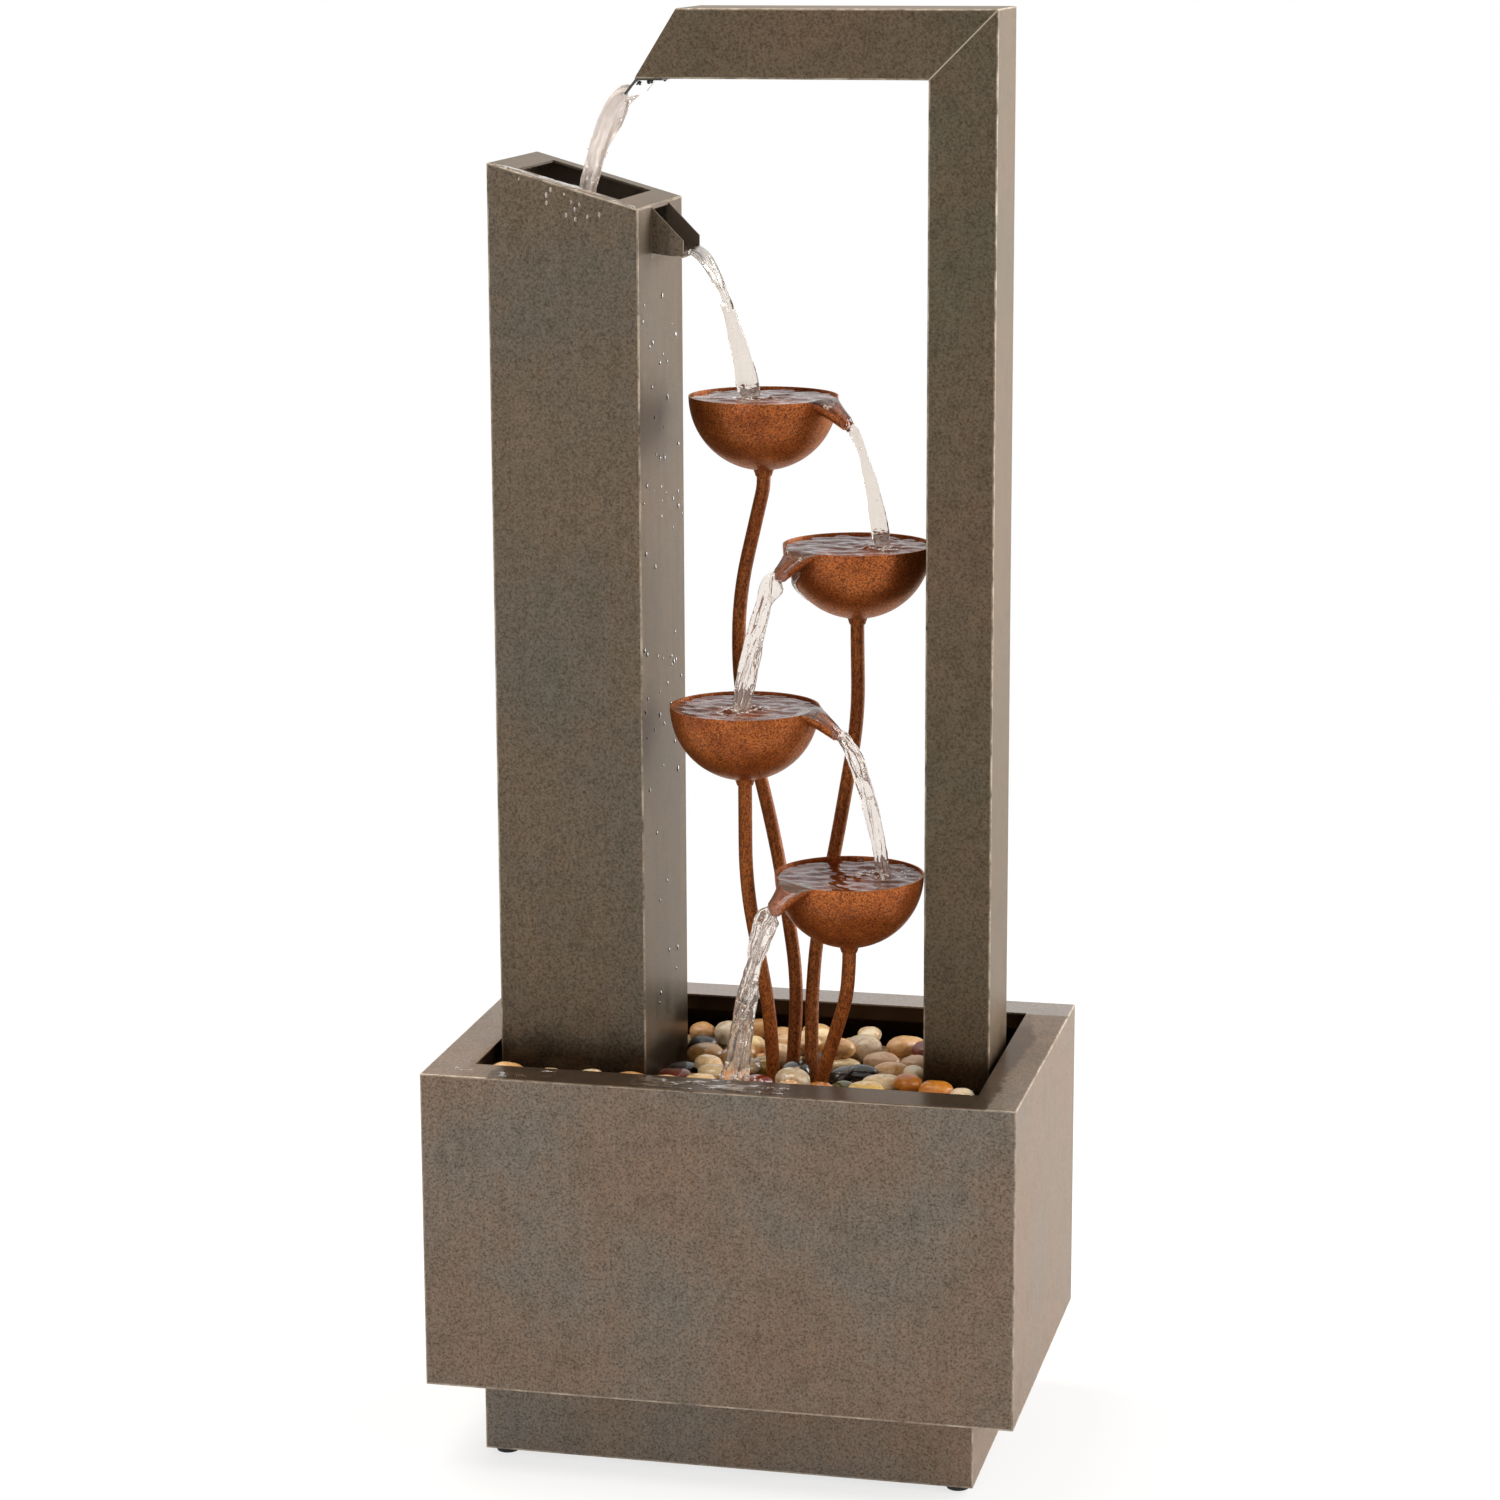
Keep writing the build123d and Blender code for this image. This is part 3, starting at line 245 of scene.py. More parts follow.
@dataclass(frozen=True)
class PatinaSheet(Finish):
    """Galvanised sheet with a brown oxide patina, wiped on and sealed matt.

    The wiped patina gives the eye soft clouds of umber and grey, a grain like suede, and a paler line along
    the folds that is partly rubbed wear and partly a painted highlight. Inside it is darker with painted
    shade, partly wet where water runs; the basin's warm inside colour is also a painted reflection of the
    copper and the stones. The sheet shows warm reflections at a low angle, so it is a little metallic under
    a warm tint.

    Attributes:
        name: Name of the material.
        shells: Boxes along whose folds wear and a painted highlight are drawn, and whose insides take
            painted shade.
        ground: Colours of the wiped patina, from the coolest to the warmest.
        low_dark_top_mm: Height above which the sheet is not darkened towards the bottom, or 0 for none.
        low_dark_full_mm: Height below which that darkening is full.
        inner: Colour of the inside, painted shade that is partly wet; for the basin it also holds a painted
            reflection of the copper and the stones.
        wet_rim: Whether water lies on the rim's front and on its right side.
        runs: Whether water has run down the face that looks along X.
        wet_roughness: Roughness where it is wet.
        cloud_mm: Size of the clouds.
        grain_mm: Size of the suede grain.
    """

    name: str
    shells: tuple[Shell, ...]
    ground: tuple[str, str, str] = ("#878481", "#8c837c", "#908176")
    low_dark_top_mm: float = 0.0
    low_dark_full_mm: float = 292.0
    inner: str = "#3b382f"
    wet_rim: bool = False
    runs: bool = False
    wet_roughness: float = 0.28
    cloud_mm: float = 120.0
    # Real grain is taken as about 0.3 mm. It is drawn as coarse as it needs to show.
    grain_mm: float = 1.7

    # Places of the ground colours, the finer layers over them, and how upright marks are drawn out along Z.
    GROUND_STOPS: ClassVar[Triple] = (0.34, 0.5, 0.66)
    BLOTCHES: ClassVar[Layer] = Layer(
        16.0, 6.0, 0.62, ((0.32, "#e4e0d8"), (0.5, "#f4f0ea"), (0.68, "#fbefe4")), 1.0)
    SUEDE: ClassVar[Stops] = ((0.3, "#9c9790"), (0.48, "#dad7d2"), (0.6, "#eeece9"), (0.74, "#ffffff"))
    STROKES: ClassVar[Layer] = Layer(3.0, 2.0, 0.5, ((0.3, "#eeebe8"), (0.7, "#ffffff")), 0.6)
    STROKE_SQUEEZE: ClassVar[float] = 0.05
    TRICKLE_SQUEEZE: ClassVar[float] = 0.03
    TRICKLE_MM: ClassVar[float] = 9.0
    # The line of wear and painted highlight lies this far inside a fold, fades over this range and shows
    # this far outside.
    EDGE_MM: ClassVar[float] = 1.1
    EDGE_FADE_MM: ClassVar[Pair] = (-0.4, 0.3)
    EDGE_REACH_MM: ClassVar[float] = 1.6
    # Size of the patches in which the folds show wear and painted highlight, and how far within a shell its
    # inside begins.
    WEAR_AND_HIGHLIGHT_MM: ClassVar[float] = 18.0
    SKIN_MM: ClassVar[float] = 1.2
    # How ragged the border of the darkening low on a wall and that of rim water are, and the height above
    # which the rim lies.
    LOW_BORDER_MM: ClassVar[float] = 30.0
    RAGGED_MM: ClassVar[float] = 26.0
    RIM_MM: ClassVar[float] = BASIN_RIM_MM - 0.6
    # Where rim water starts on the left, and where it ends on the right and at the back.
    WATER_LEFT_MM: ClassVar[Pair] = (-152.0, -149.0)
    WATER_RIGHT_MM: ClassVar[Pair] = (207.0, 210.0)
    WATER_BACK_MM: ClassVar[Pair] = (60.0, 104.0)
    # Where the glossy seal begins and is full at the back and on the left, and how thick it is.
    SEAL_BACK: ClassVar[Triple] = (104.0, 106.0, 0.8)
    SEAL_LEFT: ClassVar[Triple] = (-184.0, -190.0, 0.25)

    def colour(self, tree: Tree, point: Socket) -> Node:
        """Wiped patina colour, before wear and water.

        Args:
            tree: Node tree.
            point: Place on the surface.

        Returns:
            The colour.
        """
        clouds = add(tree, "TexNoise", {"Vector": point, "Scale": per_mm(self.cloud_mm), "Detail": 4.0})
        colour = add(tree, "ValToRGB", [clouds], stops=tuple(zip(self.GROUND_STOPS, self.ground)))
        upright = add(tree, "Mapping", {0: point, "Scale": (1.0, 1.0, self.STROKE_SQUEEZE)})
        suede = Layer(self.grain_mm, 2.0, 0.6, self.SUEDE, 0.95)
        for layer, place in ((self.BLOTCHES, point), (suede, point), (self.STROKES, upright)):
            pattern = add(tree, "TexNoise", {"Vector": place, "Scale": per_mm(layer.size_mm),
                                             "Detail": layer.detail, "Roughness": layer.roughness})
            shade = add(tree, "ValToRGB", [pattern], stops=layer.stops)
            colour = add(tree, "Mix", {0: layer.share, 6: colour, 7: shade}, **TINT)
        return colour

    def edges(self, tree: Tree, point: Socket) -> Node:
        """Mask of the shells' folded edges, broken up by a noise.

        Args:
            tree: Node tree.
            point: Place on the surface.

        Returns:
            The mask.
        """
        total = 0.0
        for shell in self.shells:
            x, y, z = shell.depth(tree, point, self.EDGE_MM)
            low = add(tree, "Math", [x, y], "MINIMUM")
            high = add(tree, "Math", [x, y], "MAXIMUM")
            other = add(tree, "Math", [high, z], "MINIMUM")
            second = add(tree, "Math", [low, other], "MAXIMUM")
            line = add(tree, "MapRange", {"Value": second, "From Min": self.EDGE_FADE_MM[0] * MM,
                                          "From Max": self.EDGE_FADE_MM[1] * MM})
            outer = add(tree, "Math", [high, z], "MAXIMUM")
            near = add(tree, "Math", [outer, self.EDGE_REACH_MM * MM], "LESS_THAN")
            mark = add(tree, "Math", [line, near], "MULTIPLY")
            total = add(tree, "Math", [total, mark], "MAXIMUM")
        patchy = add(tree, "TexNoise", {"Vector": point, "Scale": per_mm(self.WEAR_AND_HIGHLIGHT_MM), "Detail": 5.0,
                                        "Roughness": 0.7})
        wear_and_highlight_patches = add(tree, "MapRange", {"Value": patchy, "From Min": 0.35, "From Max": 0.65})
        return add(tree, "Math", [total, wear_and_highlight_patches], "MULTIPLY")

    def inside(self, tree: Tree, point: Socket) -> Node:
        """Mask of the shells' insides.

        Args:
            tree: Node tree.
            point: Place on the surface.

        Returns:
            The mask.
        """
        total = 0.0
        for shell in self.shells:
            x, y, z = shell.depth(tree, point, self.SKIN_MM)
            plan = add(tree, "Math", [x, y], "MAXIMUM")
            deepest = add(tree, "Math", [plan, z], "MAXIMUM")
            mark = add(tree, "Math", [deepest, 0.0], "LESS_THAN")
            total = add(tree, "Math", [total, mark], "MAXIMUM")
        return total

    def wet(self, tree: Tree, point: Socket) -> Node:
        """Mask of the water that lies on the rim, or of the darkening low on a wall.

        Args:
            tree: Node tree.
            point: Place on the surface.

        Returns:
            The mask.
        """
        ragged = add(tree, "TexNoise", {"Vector": point, "Scale": per_mm(self.RAGGED_MM), "Detail": 4.0,
                                        "Roughness": 0.6})
        x, y, z = add(tree, "SeparateXYZ", [point]).outputs
        if not self.wet_rim:
            # Darker towards the bottom of the wall, between the two heights, with a ragged border.
            height = add(tree, "Math", [ragged, -self.LOW_BORDER_MM * MM, z], "MULTIPLY_ADD")
            middle = self.LOW_BORDER_MM / 2
            low, high = self.low_dark_full_mm - middle, max(self.low_dark_top_mm, 1.0) - middle
            return add(tree, "MapRange", {"Value": height, "From Min": low * MM, "From Max": high * MM,
                                          "To Min": 1.0, "To Max": 0.0}, interpolation_type="SMOOTHSTEP")
        across = add(tree, "Math", [ragged, self.RAGGED_MM * MM, x], "MULTIPLY_ADD")
        product = 1.0
        borders = ((across, self.WATER_LEFT_MM, 0.0), (across, self.WATER_RIGHT_MM, 1.0),
                   (y, self.WATER_BACK_MM, 1.0))
        for source, (low, high), begin in borders:
            mask = add(tree, "MapRange", {"Value": source, "From Min": low * MM, "From Max": high * MM,
                                          "To Min": begin, "To Max": 1.0 - begin})
            product = add(tree, "Math", [product, mask], "MULTIPLY")
        top = add(tree, "Math", [z, self.RIM_MM * MM], "GREATER_THAN")
        return add(tree, "Math", [product, top], "MULTIPLY")

    def trickles(self, tree: Tree, point: Socket) -> Node:
        """Mask of the runs of water down the face that looks along X.

        Args:
            tree: Node tree.
            point: Place on the surface.

        Returns:
            The mask.
        """
        upright = add(tree, "Mapping", {0: point, "Scale": (1.0, 1.0, self.TRICKLE_SQUEEZE)})
        runs = add(tree, "TexNoise", {"Vector": upright, "Scale": per_mm(self.TRICKLE_MM), "Detail": 4.0,
                                      "Roughness": 0.65})
        sharp = add(tree, "MapRange", {"Value": runs, "From Min": 0.44, "From Max": 0.68, "To Max": 0.4})
        x = add(tree, "SeparateXYZ", [point])
        face = add(tree, "Math", [x, (self.shells[0].high[0] - 0.4) * MM], "GREATER_THAN")
        return add(tree, "Math", [sharp, face], "MULTIPLY")

    def dry_rim(self, tree: Tree, point: Socket) -> Node:
        """Mask of the rim's back and left side, where the seal has stayed thick and glossy.

        Args:
            tree: Node tree.
            point: Place on the surface.

        Returns:
            The mask.
        """
        x, y, z = add(tree, "SeparateXYZ", [point]).outputs
        top = add(tree, "Math", [z, self.RIM_MM * MM], "GREATER_THAN")
        back, left = (add(tree, "MapRange", {"Value": source, "From Min": start * MM, "From Max": full * MM,
                                             "To Max": thick})
                      for source, (start, full, thick) in ((y, self.SEAL_BACK), (x, self.SEAL_LEFT)))
        side = add(tree, "Math", [back, left], "MAXIMUM")
        return add(tree, "Math", [top, side], "MULTIPLY")

    def surface(self, tree: Tree) -> Node:
        """Patina, folds paler with wear and a painted highlight, insides darker with painted shade, and
        water marks, one over another.

        Args:
            tree: Node tree.

        Returns:
            The shader.
        """
        point = add(tree, "TexCoord").outputs["Object"]
        colour, edges, wet = (make(tree, point) for make in (self.colour, self.edges, self.wet))
        # Paler line along the folds: partly rubbed wear, partly a painted highlight where a rounded fold
        # would catch the light.
        worn_and_highlit = add(tree, "Mix", {0: edges, 6: colour, 7: linear("#b3a797")}, **OVER)
        if self.runs:
            wet = add(tree, "Math", [wet, self.trickles(tree, point)], "MAXIMUM")
        # Darker and glossier where water lies on the rim or runs down, and towards the bottom of the column
        # and the arch.
        water_marks_and_low_dark = add(tree, "Mix", {0: wet, 6: worn_and_highlit, 7: linear("#948a80")}, **TINT)
        # Painted shade: the shells' insides are darkened towards the inner colour, partly for wet sheet.
        inside = self.inside(tree, point)
        dark = add(tree, "Mix", {0: inside, 6: water_marks_and_low_dark, 7: linear(self.inner)}, **OVER)
        pores = add(tree, "TexNoise", {"Vector": point, "Scale": per_mm(self.grain_mm), "Detail": 4.0})
        wetness = add(tree, "Math", [wet, inside], "MAXIMUM")
        dry = add(tree, "MapRange", {"Value": pores, "To Min": 0.3, "To Max": 0.46})
        rough = add(tree, "Mix", {0: wetness, 2: dry, 3: self.wet_roughness}, data_type="FLOAT")
        bump = add(tree, "Bump", {"Height": pores, "Strength": 0.35, "Distance": 0.12 * MM})
        shader = {"Base Color": dark, "Roughness": rough, "Normal": bump, "Metallic": 0.3,
                  "Specular IOR Level": 0.2, "Specular Tint": linear("#e2c4a6"), "Coat Roughness": 0.15}
        if self.wet_rim:
            shader["Coat Weight"] = self.dry_rim(tree, point)
        return add(tree, "BsdfPrincipled", shader)


@dataclass(frozen=True)
class MitredSheet(PatinaSheet):
    """Patinated sheet of two rectangular tubes, upright and level, that meet in a filed mitre.

    Filing the welded mitre leaves the eye a thin bright slanting line.

    Attributes:
        corner_mm: X and Z of the mitre's inner end.
        line_mm: Width of the bright line.
    """

    corner_mm: Pair = (131.0, 995.0)
    line_mm: float = 1.3

    def edges(self, tree: Tree, point: Socket) -> Node:
        """Mask of each tube's folds on its own side of the mitre, and of the mitre's line.

        Args:
            tree: Node tree.
            point: Place on the surface.

        Returns:
            The mask.
        """
        x, _, z = add(tree, "SeparateXYZ", [point]).outputs
        slant = add(tree, "Math", [x, z], "SUBTRACT")
        across = add(tree, "Math", [slant, (self.corner_mm[0] - self.corner_mm[1]) * MM], "SUBTRACT")
        total = 0.0
        for shell, side in zip(self.shells, ("GREATER_THAN", "LESS_THAN")):
            marks = PatinaSheet(self.name, (shell,)).edges(tree, point)
            own = add(tree, "Math", [across, 0.0], side)
            mark = add(tree, "Math", [marks, own], "MULTIPLY")
            total = add(tree, "Math", [total, mark], "MAXIMUM")
        near = add(tree, "Math", [across], "ABSOLUTE")
        line = add(tree, "MapRange", {"Value": near, "From Min": 0.7 * self.line_mm * MM,
                                      "From Max": 0.3 * self.line_mm * MM, "To Max": 0.8})
        beyond = add(tree, "Math", [x, self.corner_mm[0] * MM], "GREATER_THAN")
        filed = add(tree, "Math", [line, beyond], "MULTIPLY")
        return add(tree, "Math", [total, filed], "MAXIMUM")


@dataclass(frozen=True)
class RustedCopper(Finish):
    """Spun steel bowl in a crackled rust and copper patina under a clear seal.

    The acid-washed coat gives the eye a net of dark pits and orange flecks, and the seal and the spray give
    it a satin gloss.

    Attributes:
        name: Name of the material.
        ground_low: Darker colour of its patches.
        ground_high: Lighter colour of its patches.
        pit: Colour of the pits.
        fleck: Colour of the flecks.
        pit_mm: Size of the pits.
        patch_mm: Size of the patches.
        roughness: Its roughness between pits and flecks.
        streak: Squeeze of the pattern along Z, below 1 where a bar was drawn.
        metallic: How much bare metal shows.
        coat: Weight of the seal.
    """

    name: str = "rusted_copper"
    ground_low: str = "#8f461a"
    ground_high: str = "#b86730"
    pit: str = "#461d0c"
    fleck: str = "#d69460"
    # Real pits are taken as about 0.7 mm. They are drawn as coarse as they need to show.
    pit_mm: float = 1.35
    patch_mm: float = 26.0
    roughness: float = 0.42
    streak: float = 1.0
    metallic: float = 0.65
    coat: float = 0.12

    def surface(self, tree: Tree) -> Node:
        """Patches, pits and flecks under a thin gloss.

        Args:
            tree: Node tree.

        Returns:
            The shader.
        """
        point = add(tree, "TexCoord").outputs["Object"]
        drawn = add(tree, "Mapping", {0: point, "Scale": (1.0, 1.0, self.streak)})
        patches = add(tree, "TexNoise", {"Vector": drawn, "Scale": per_mm(self.patch_mm), "Detail": 5.0,
                                         "Roughness": 0.6})
        ground = add(tree, "ValToRGB", [patches], stops=((0.36, self.ground_low), (0.66, self.ground_high)))
        crackle = add(tree, "TexNoise", {"Vector": drawn, "Scale": per_mm(self.pit_mm), "Detail": 3.0,
                                         "Roughness": 0.7, "Distortion": 0.6})
        pits = add(tree, "MapRange", {"Value": crackle, "From Min": 0.56, "From Max": 0.43, "To Max": 0.82})
        pitted = add(tree, "Mix", {0: pits, 6: ground, 7: linear(self.pit)}, **OVER)
        moved = add(tree, "Mapping", {0: drawn, "Location": (0.31, 0.17, 0.23)})
        spots = add(tree, "TexNoise", {"Vector": moved, "Scale": per_mm(0.9 * self.pit_mm), "Detail": 3.0,
                                       "Roughness": 0.7})
        flecks = add(tree, "MapRange", {"Value": spots, "From Min": 0.54, "From Max": 0.74, "To Max": 0.5})
        flecked = add(tree, "Mix", {0: flecks, 6: pitted, 7: linear(self.fleck)}, **OVER)
        rough = add(tree, "MapRange", {"Value": crackle, "From Min": 0.3, "From Max": 0.7,
                                       "To Min": self.roughness + 0.12, "To Max": self.roughness - 0.1})
        bump = add(tree, "Bump", {"Height": crackle, "Strength": 0.5, "Distance": 0.25 * MM})
        return add(tree, "BsdfPrincipled", {
            "Base Color": flecked, "Roughness": rough, "Normal": bump, "Metallic": self.metallic,
            "Coat Weight": self.coat, "Coat Roughness": 0.16, "Specular IOR Level": 0.3,
            "Specular Tint": linear("#f0d0b0")})


@dataclass(frozen=True)
class RiverStone(Finish):
    """Tumbled river stone.

    Tumbling gives the eye a silky skin with faint bands and freckles, each stone in its own colour. Near the
    falls the stones are wet, which deepens the colour and makes it shine.

    Attributes:
        name: Name of the material.
        dry_roughness: Roughness of a dry stone.
        wet_roughness: Roughness of a wet one.
        band_mm: Spacing of the bands.
        freckle_mm: Size of the freckles.
        splash_mm: Place from which the stones are wetted.
        wet_reach_mm: How far from there they are fully wet.
        ragged_mm: How ragged the border of the wet patch is.
    """

    name: str
    dry_roughness: float = 0.36
    wet_roughness: float = 0.08
    band_mm: float = 9.0
    # Real freckles are taken as about 0.5 mm. They are drawn as coarse as they need to show.
    freckle_mm: float = 1.3
    splash_mm: Triple = (4.0, -84.0, 290.0)
    wet_reach_mm: float = 80.0
    ragged_mm: float = 60.0

    def surface(self, tree: Tree) -> Node:
        """Each stone's own colour with bands, freckles and wetness.

        Args:
            tree: Node tree.

        Returns:
            The shader.
        """
        point = add(tree, "TexCoord").outputs["Object"]
        own = add(tree, "Attribute", attribute_name=PebbleBed.COLOUR_LAYER)
        bands = add(tree, "TexNoise", {"Vector": point, "Scale": per_mm(self.band_mm), "Detail": 4.0,
                                       "Roughness": 0.55, "Distortion": 1.2})
        steps = (0.32, "#c49a70"), (0.46, "#f0e2cc"), (0.6, "#ffffff")
        veins = add(tree, "ValToRGB", [bands], stops=steps)
        veined = add(tree, "Mix", {0: 0.7, 6: own, 7: veins}, **TINT)
        spots = add(tree, "TexNoise", {"Vector": point, "Scale": per_mm(self.freckle_mm), "Detail": 2.0})
        freckles = add(tree, "MapRange", {"Value": spots, "From Min": 0.6, "From Max": 0.72, "To Max": 0.4})
        freckled = add(tree, "Mix", {0: freckles, 6: veined, 7: linear("#8f7a60")}, **TINT)
        away = add(tree, "VectorMath", [point, [v * MM for v in self.splash_mm]], "DISTANCE")
        ragged = add(tree, "Math", [bands, self.ragged_mm * MM, away.outputs["Value"]], "MULTIPLY_ADD")
        wet = add(tree, "MapRange", {"Value": ragged, "From Min": self.wet_reach_mm * MM,
                                     "From Max": 2.2 * self.wet_reach_mm * MM, "To Min": 1.0, "To Max": 0.0},
                  interpolation_type="SMOOTHSTEP")
        soaked = add(tree, "Mix", {0: wet, 6: freckled, 7: linear("#f6ecdc")}, **TINT)
        rough = add(tree, "Mix", {0: wet, 2: self.dry_roughness, 3: self.wet_roughness}, data_type="FLOAT")
        bump = add(tree, "Bump", {"Height": spots, "Strength": 0.25, "Distance": 0.2 * MM})
        shader = {"Base Color": soaked, "Roughness": rough, "Normal": bump, "IOR": 1.5}
        return add(tree, "BsdfPrincipled", shader)


@dataclass(frozen=True)
class ClearWater(Finish):
    """Running water.

    It gives the eye a clear body with thin dark lines where its surface turns away, because there it bends
    the light of the darker surroundings, and a fine ripple.

    Attributes:
        name: Name of the material.
        edge: Colour where the surface turns away from the eye.
        ripple_mm: Spacing of the finest ripple.
        ripple: Strength of that ripple.
        start: Facing at which the edge colour begins.
        full: Facing at which it is full.
        body: Colour of what shines through it.
        roughness: Its roughness, more where it is full of air.
        tint: Tint of its reflection.
        air: Share of it that is white with fine bubbles.
    """

    name: str
    edge: str = "#8d8880"
    ripple_mm: float = 3.0
    ripple: float = 0.3
    start: float = 0.45
    full: float = 0.95
    body: str = "#f6f2ee"
    roughness: float = 0.02
    tint: str = "#ffffff"
    air: float = 0.0

    def surface(self, tree: Tree) -> Node:
        """Clear shader, darker at its edges, that lets lamp light through to what is below.

        Args:
            tree: Node tree.

        Returns:
            The shader.
        """
        point = add(tree, "TexCoord").outputs["Object"]
        waves = add(tree, "TexNoise", {"Vector": point, "Scale": per_mm(self.ripple_mm), "Detail": 2.0})
        bump = add(tree, "Bump", {"Height": waves, "Strength": self.ripple, "Distance": 0.4 * MM})
        facing = add(tree, "LayerWeight", {"Normal": bump, "Blend": 0.5}).outputs["Facing"]
        turned = add(tree, "MapRange", {"Value": facing, "From Min": self.start, "From Max": self.full})
        tint = add(tree, "Mix", {0: turned, 6: linear(self.body), 7: linear(self.edge)}, **OVER)
        body = add(tree, "BsdfPrincipled", {
            "Base Color": tint, "Normal": bump, "Transmission Weight": 1.0 - self.air, "IOR": 1.333,
            "Roughness": self.roughness, "Specular Tint": linear(self.tint)})
        shadow = add(tree, "LightPath").outputs["Is Shadow Ray"]
        clear = add(tree, "BsdfTransparent", {"Color": linear("#f2f2f0")})
        return add(tree, "MixShader", [shadow, body, clear])


@dataclass(frozen=True)
class PlainStuff(Finish):
    """Small hidden or plain parts: moulded nylon, rubber, zinc plate, ceramic and ferrite.

    Each has a fine moulded, ground or plated texture that breaks up its gloss.

    Attributes:
        name: Name of the material.
        colour_low: Darker colour of its patches.
        colour_high: Lighter colour of its patches.
        roughness: Its roughness.
        metallic: 1 for a metal.
        texture_mm: Size of the texture.
        transmission: How much light passes through it.
    """

    name: str
    colour_low: str
    colour_high: str
    roughness: float
    metallic: float = 0.0
    # Real moulded texture is taken as about 0.1 mm. It is drawn as coarse as it needs to show.
    texture_mm: float = 0.8
    transmission: float = 0.0

    def surface(self, tree: Tree) -> Node:
        """Two near colours over a fine texture.

        Args:
            tree: Node tree.

        Returns:
            The shader.
        """
        point = add(tree, "TexCoord").outputs["Object"]
        fine, broad = (add(tree, "TexNoise", {"Vector": point, "Scale": per_mm(size), "Detail": 3.0})
                       for size in (self.texture_mm, 20 * self.texture_mm))
        tone = add(tree, "ValToRGB", [broad], stops=((0.35, self.colour_low), (0.65, self.colour_high)))
        rough = add(tree, "MapRange", {"Value": fine, "From Min": 0.3, "From Max": 0.7,
                                       "To Min": self.roughness - 0.08, "To Max": self.roughness + 0.08})
        bump = add(tree, "Bump", {"Height": fine, "Strength": 0.2, "Distance": 0.1 * MM})
        return add(tree, "BsdfPrincipled", {
            "Base Color": tone, "Roughness": rough, "Normal": bump, "Metallic": self.metallic,
            "Transmission Weight": self.transmission})


def paint(node: bpy.types.Object, finish: Finish) -> None:
    """Give a packed object's slots a finish."""
    for slot in node.material_slots:
        slot.material = finish.material()


@dataclass
class Draft:
    """Mesh under way.

    Attributes:
        verts: Its points, in metres.
        faces: Point numbers of its faces.
    """

    verts: list[Vector] = field(default_factory=list)
    faces: list[tuple[int, ...]] = field(default_factory=list)

    def put(self, place: Vector | Triple) -> None:
        """Add a point that is given in millimetres."""
        self.verts.append(Vector(place) * MM)

    def grid(self, rows: int, columns: int, first: int = 0, closed: bool = False) -> None:
        """Add the faces of a grid of points.

        Args:
            rows: Rows of points.
            columns: Points in each row.
            first: Number of the first point.
            closed: Whether the last column joins the first.
        """
        for row in range(rows - 1):
            low, high = first + row * columns, first + (row + 1) * columns
            for column in range(columns if closed else columns - 1):
                right = (column + 1) % columns
                self.faces.append((low + column, low + right, high + right, high + column))

    def skin(self, first: int, around: int, capped: bool = True) -> None:
        """Join the rings of points from the first point to the last.

        Args:
            first: Number of the first point.
            around: Points in each ring.
            capped: Whether the first ring and the last are closed with a flat face.
        """
        self.grid((len(self.verts) - first) // around, around, first, True)
        if capped:
            self.faces.append(tuple(range(first, first + around))[::-1])
            self.faces.append(tuple(range(len(self.verts) - around, len(self.verts))))

    def ball(self, centre_mm: Vector | Triple, radii_mm: Triple, rings: int = 6) -> None:
        """Add a small ball or drop.

        Args:
            centre_mm: Its middle.
            radii_mm: Half sizes along X, Y and Z.
            rings: Rings from pole to pole.
        """
        first = len(self.verts)
        centre = Vector(centre_mm) * MM
        radii = [radius * MM for radius in radii_mm]
        for ring in range(rings + 1):
            tilt = math.pi * ring / rings
            for c, s in circle(2 * rings):
                level = radii[0] * math.sin(tilt) * c, radii[1] * math.sin(tilt) * s
                self.verts.append(centre + Vector((*level, radii[2] * math.cos(tilt))))
        self.skin(first, 2 * rings, False)

    def place(self, name: str, finish: Finish, slot: Slot = Slot.WATER) -> bpy.types.Object:
        """Make it a smooth mesh piece that rides on the fountain.

        Args:
            name: Name of the piece.
            finish: Its finish.
            slot: Material slot of the record that it belongs to. It is not used.

        Returns:
            The piece.
        """
        mesh = bpy.data.meshes.new(name)
        mesh.from_pydata([tuple(v) for v in self.verts], [], self.faces)
        for face in mesh.polygons:
            face.use_smooth = True
        mesh.materials.append(finish.material())
        mesh.update()
        piece = bpy.data.objects.new(name, mesh)
        bpy.context.scene.collection.objects.link(piece)
        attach(piece, FIXED_BODY)
        return piece


def fuse(piece: bpy.types.Object, cell_mm: float) -> None:
    """Fuse a piece's overlapping bodies into one smooth skin.

    Args:
        piece: The piece.
        cell_mm: Size of the finest form that stays.
    """
    melt = piece.modifiers.new("fuse", "REMESH")
    melt.mode = "VOXEL"
    melt.voxel_size = cell_mm * MM
    melt.use_smooth_shade = True
    soften = piece.modifiers.new("soften", "SMOOTH")
    soften.factor = 0.5
    soften.iterations = 3


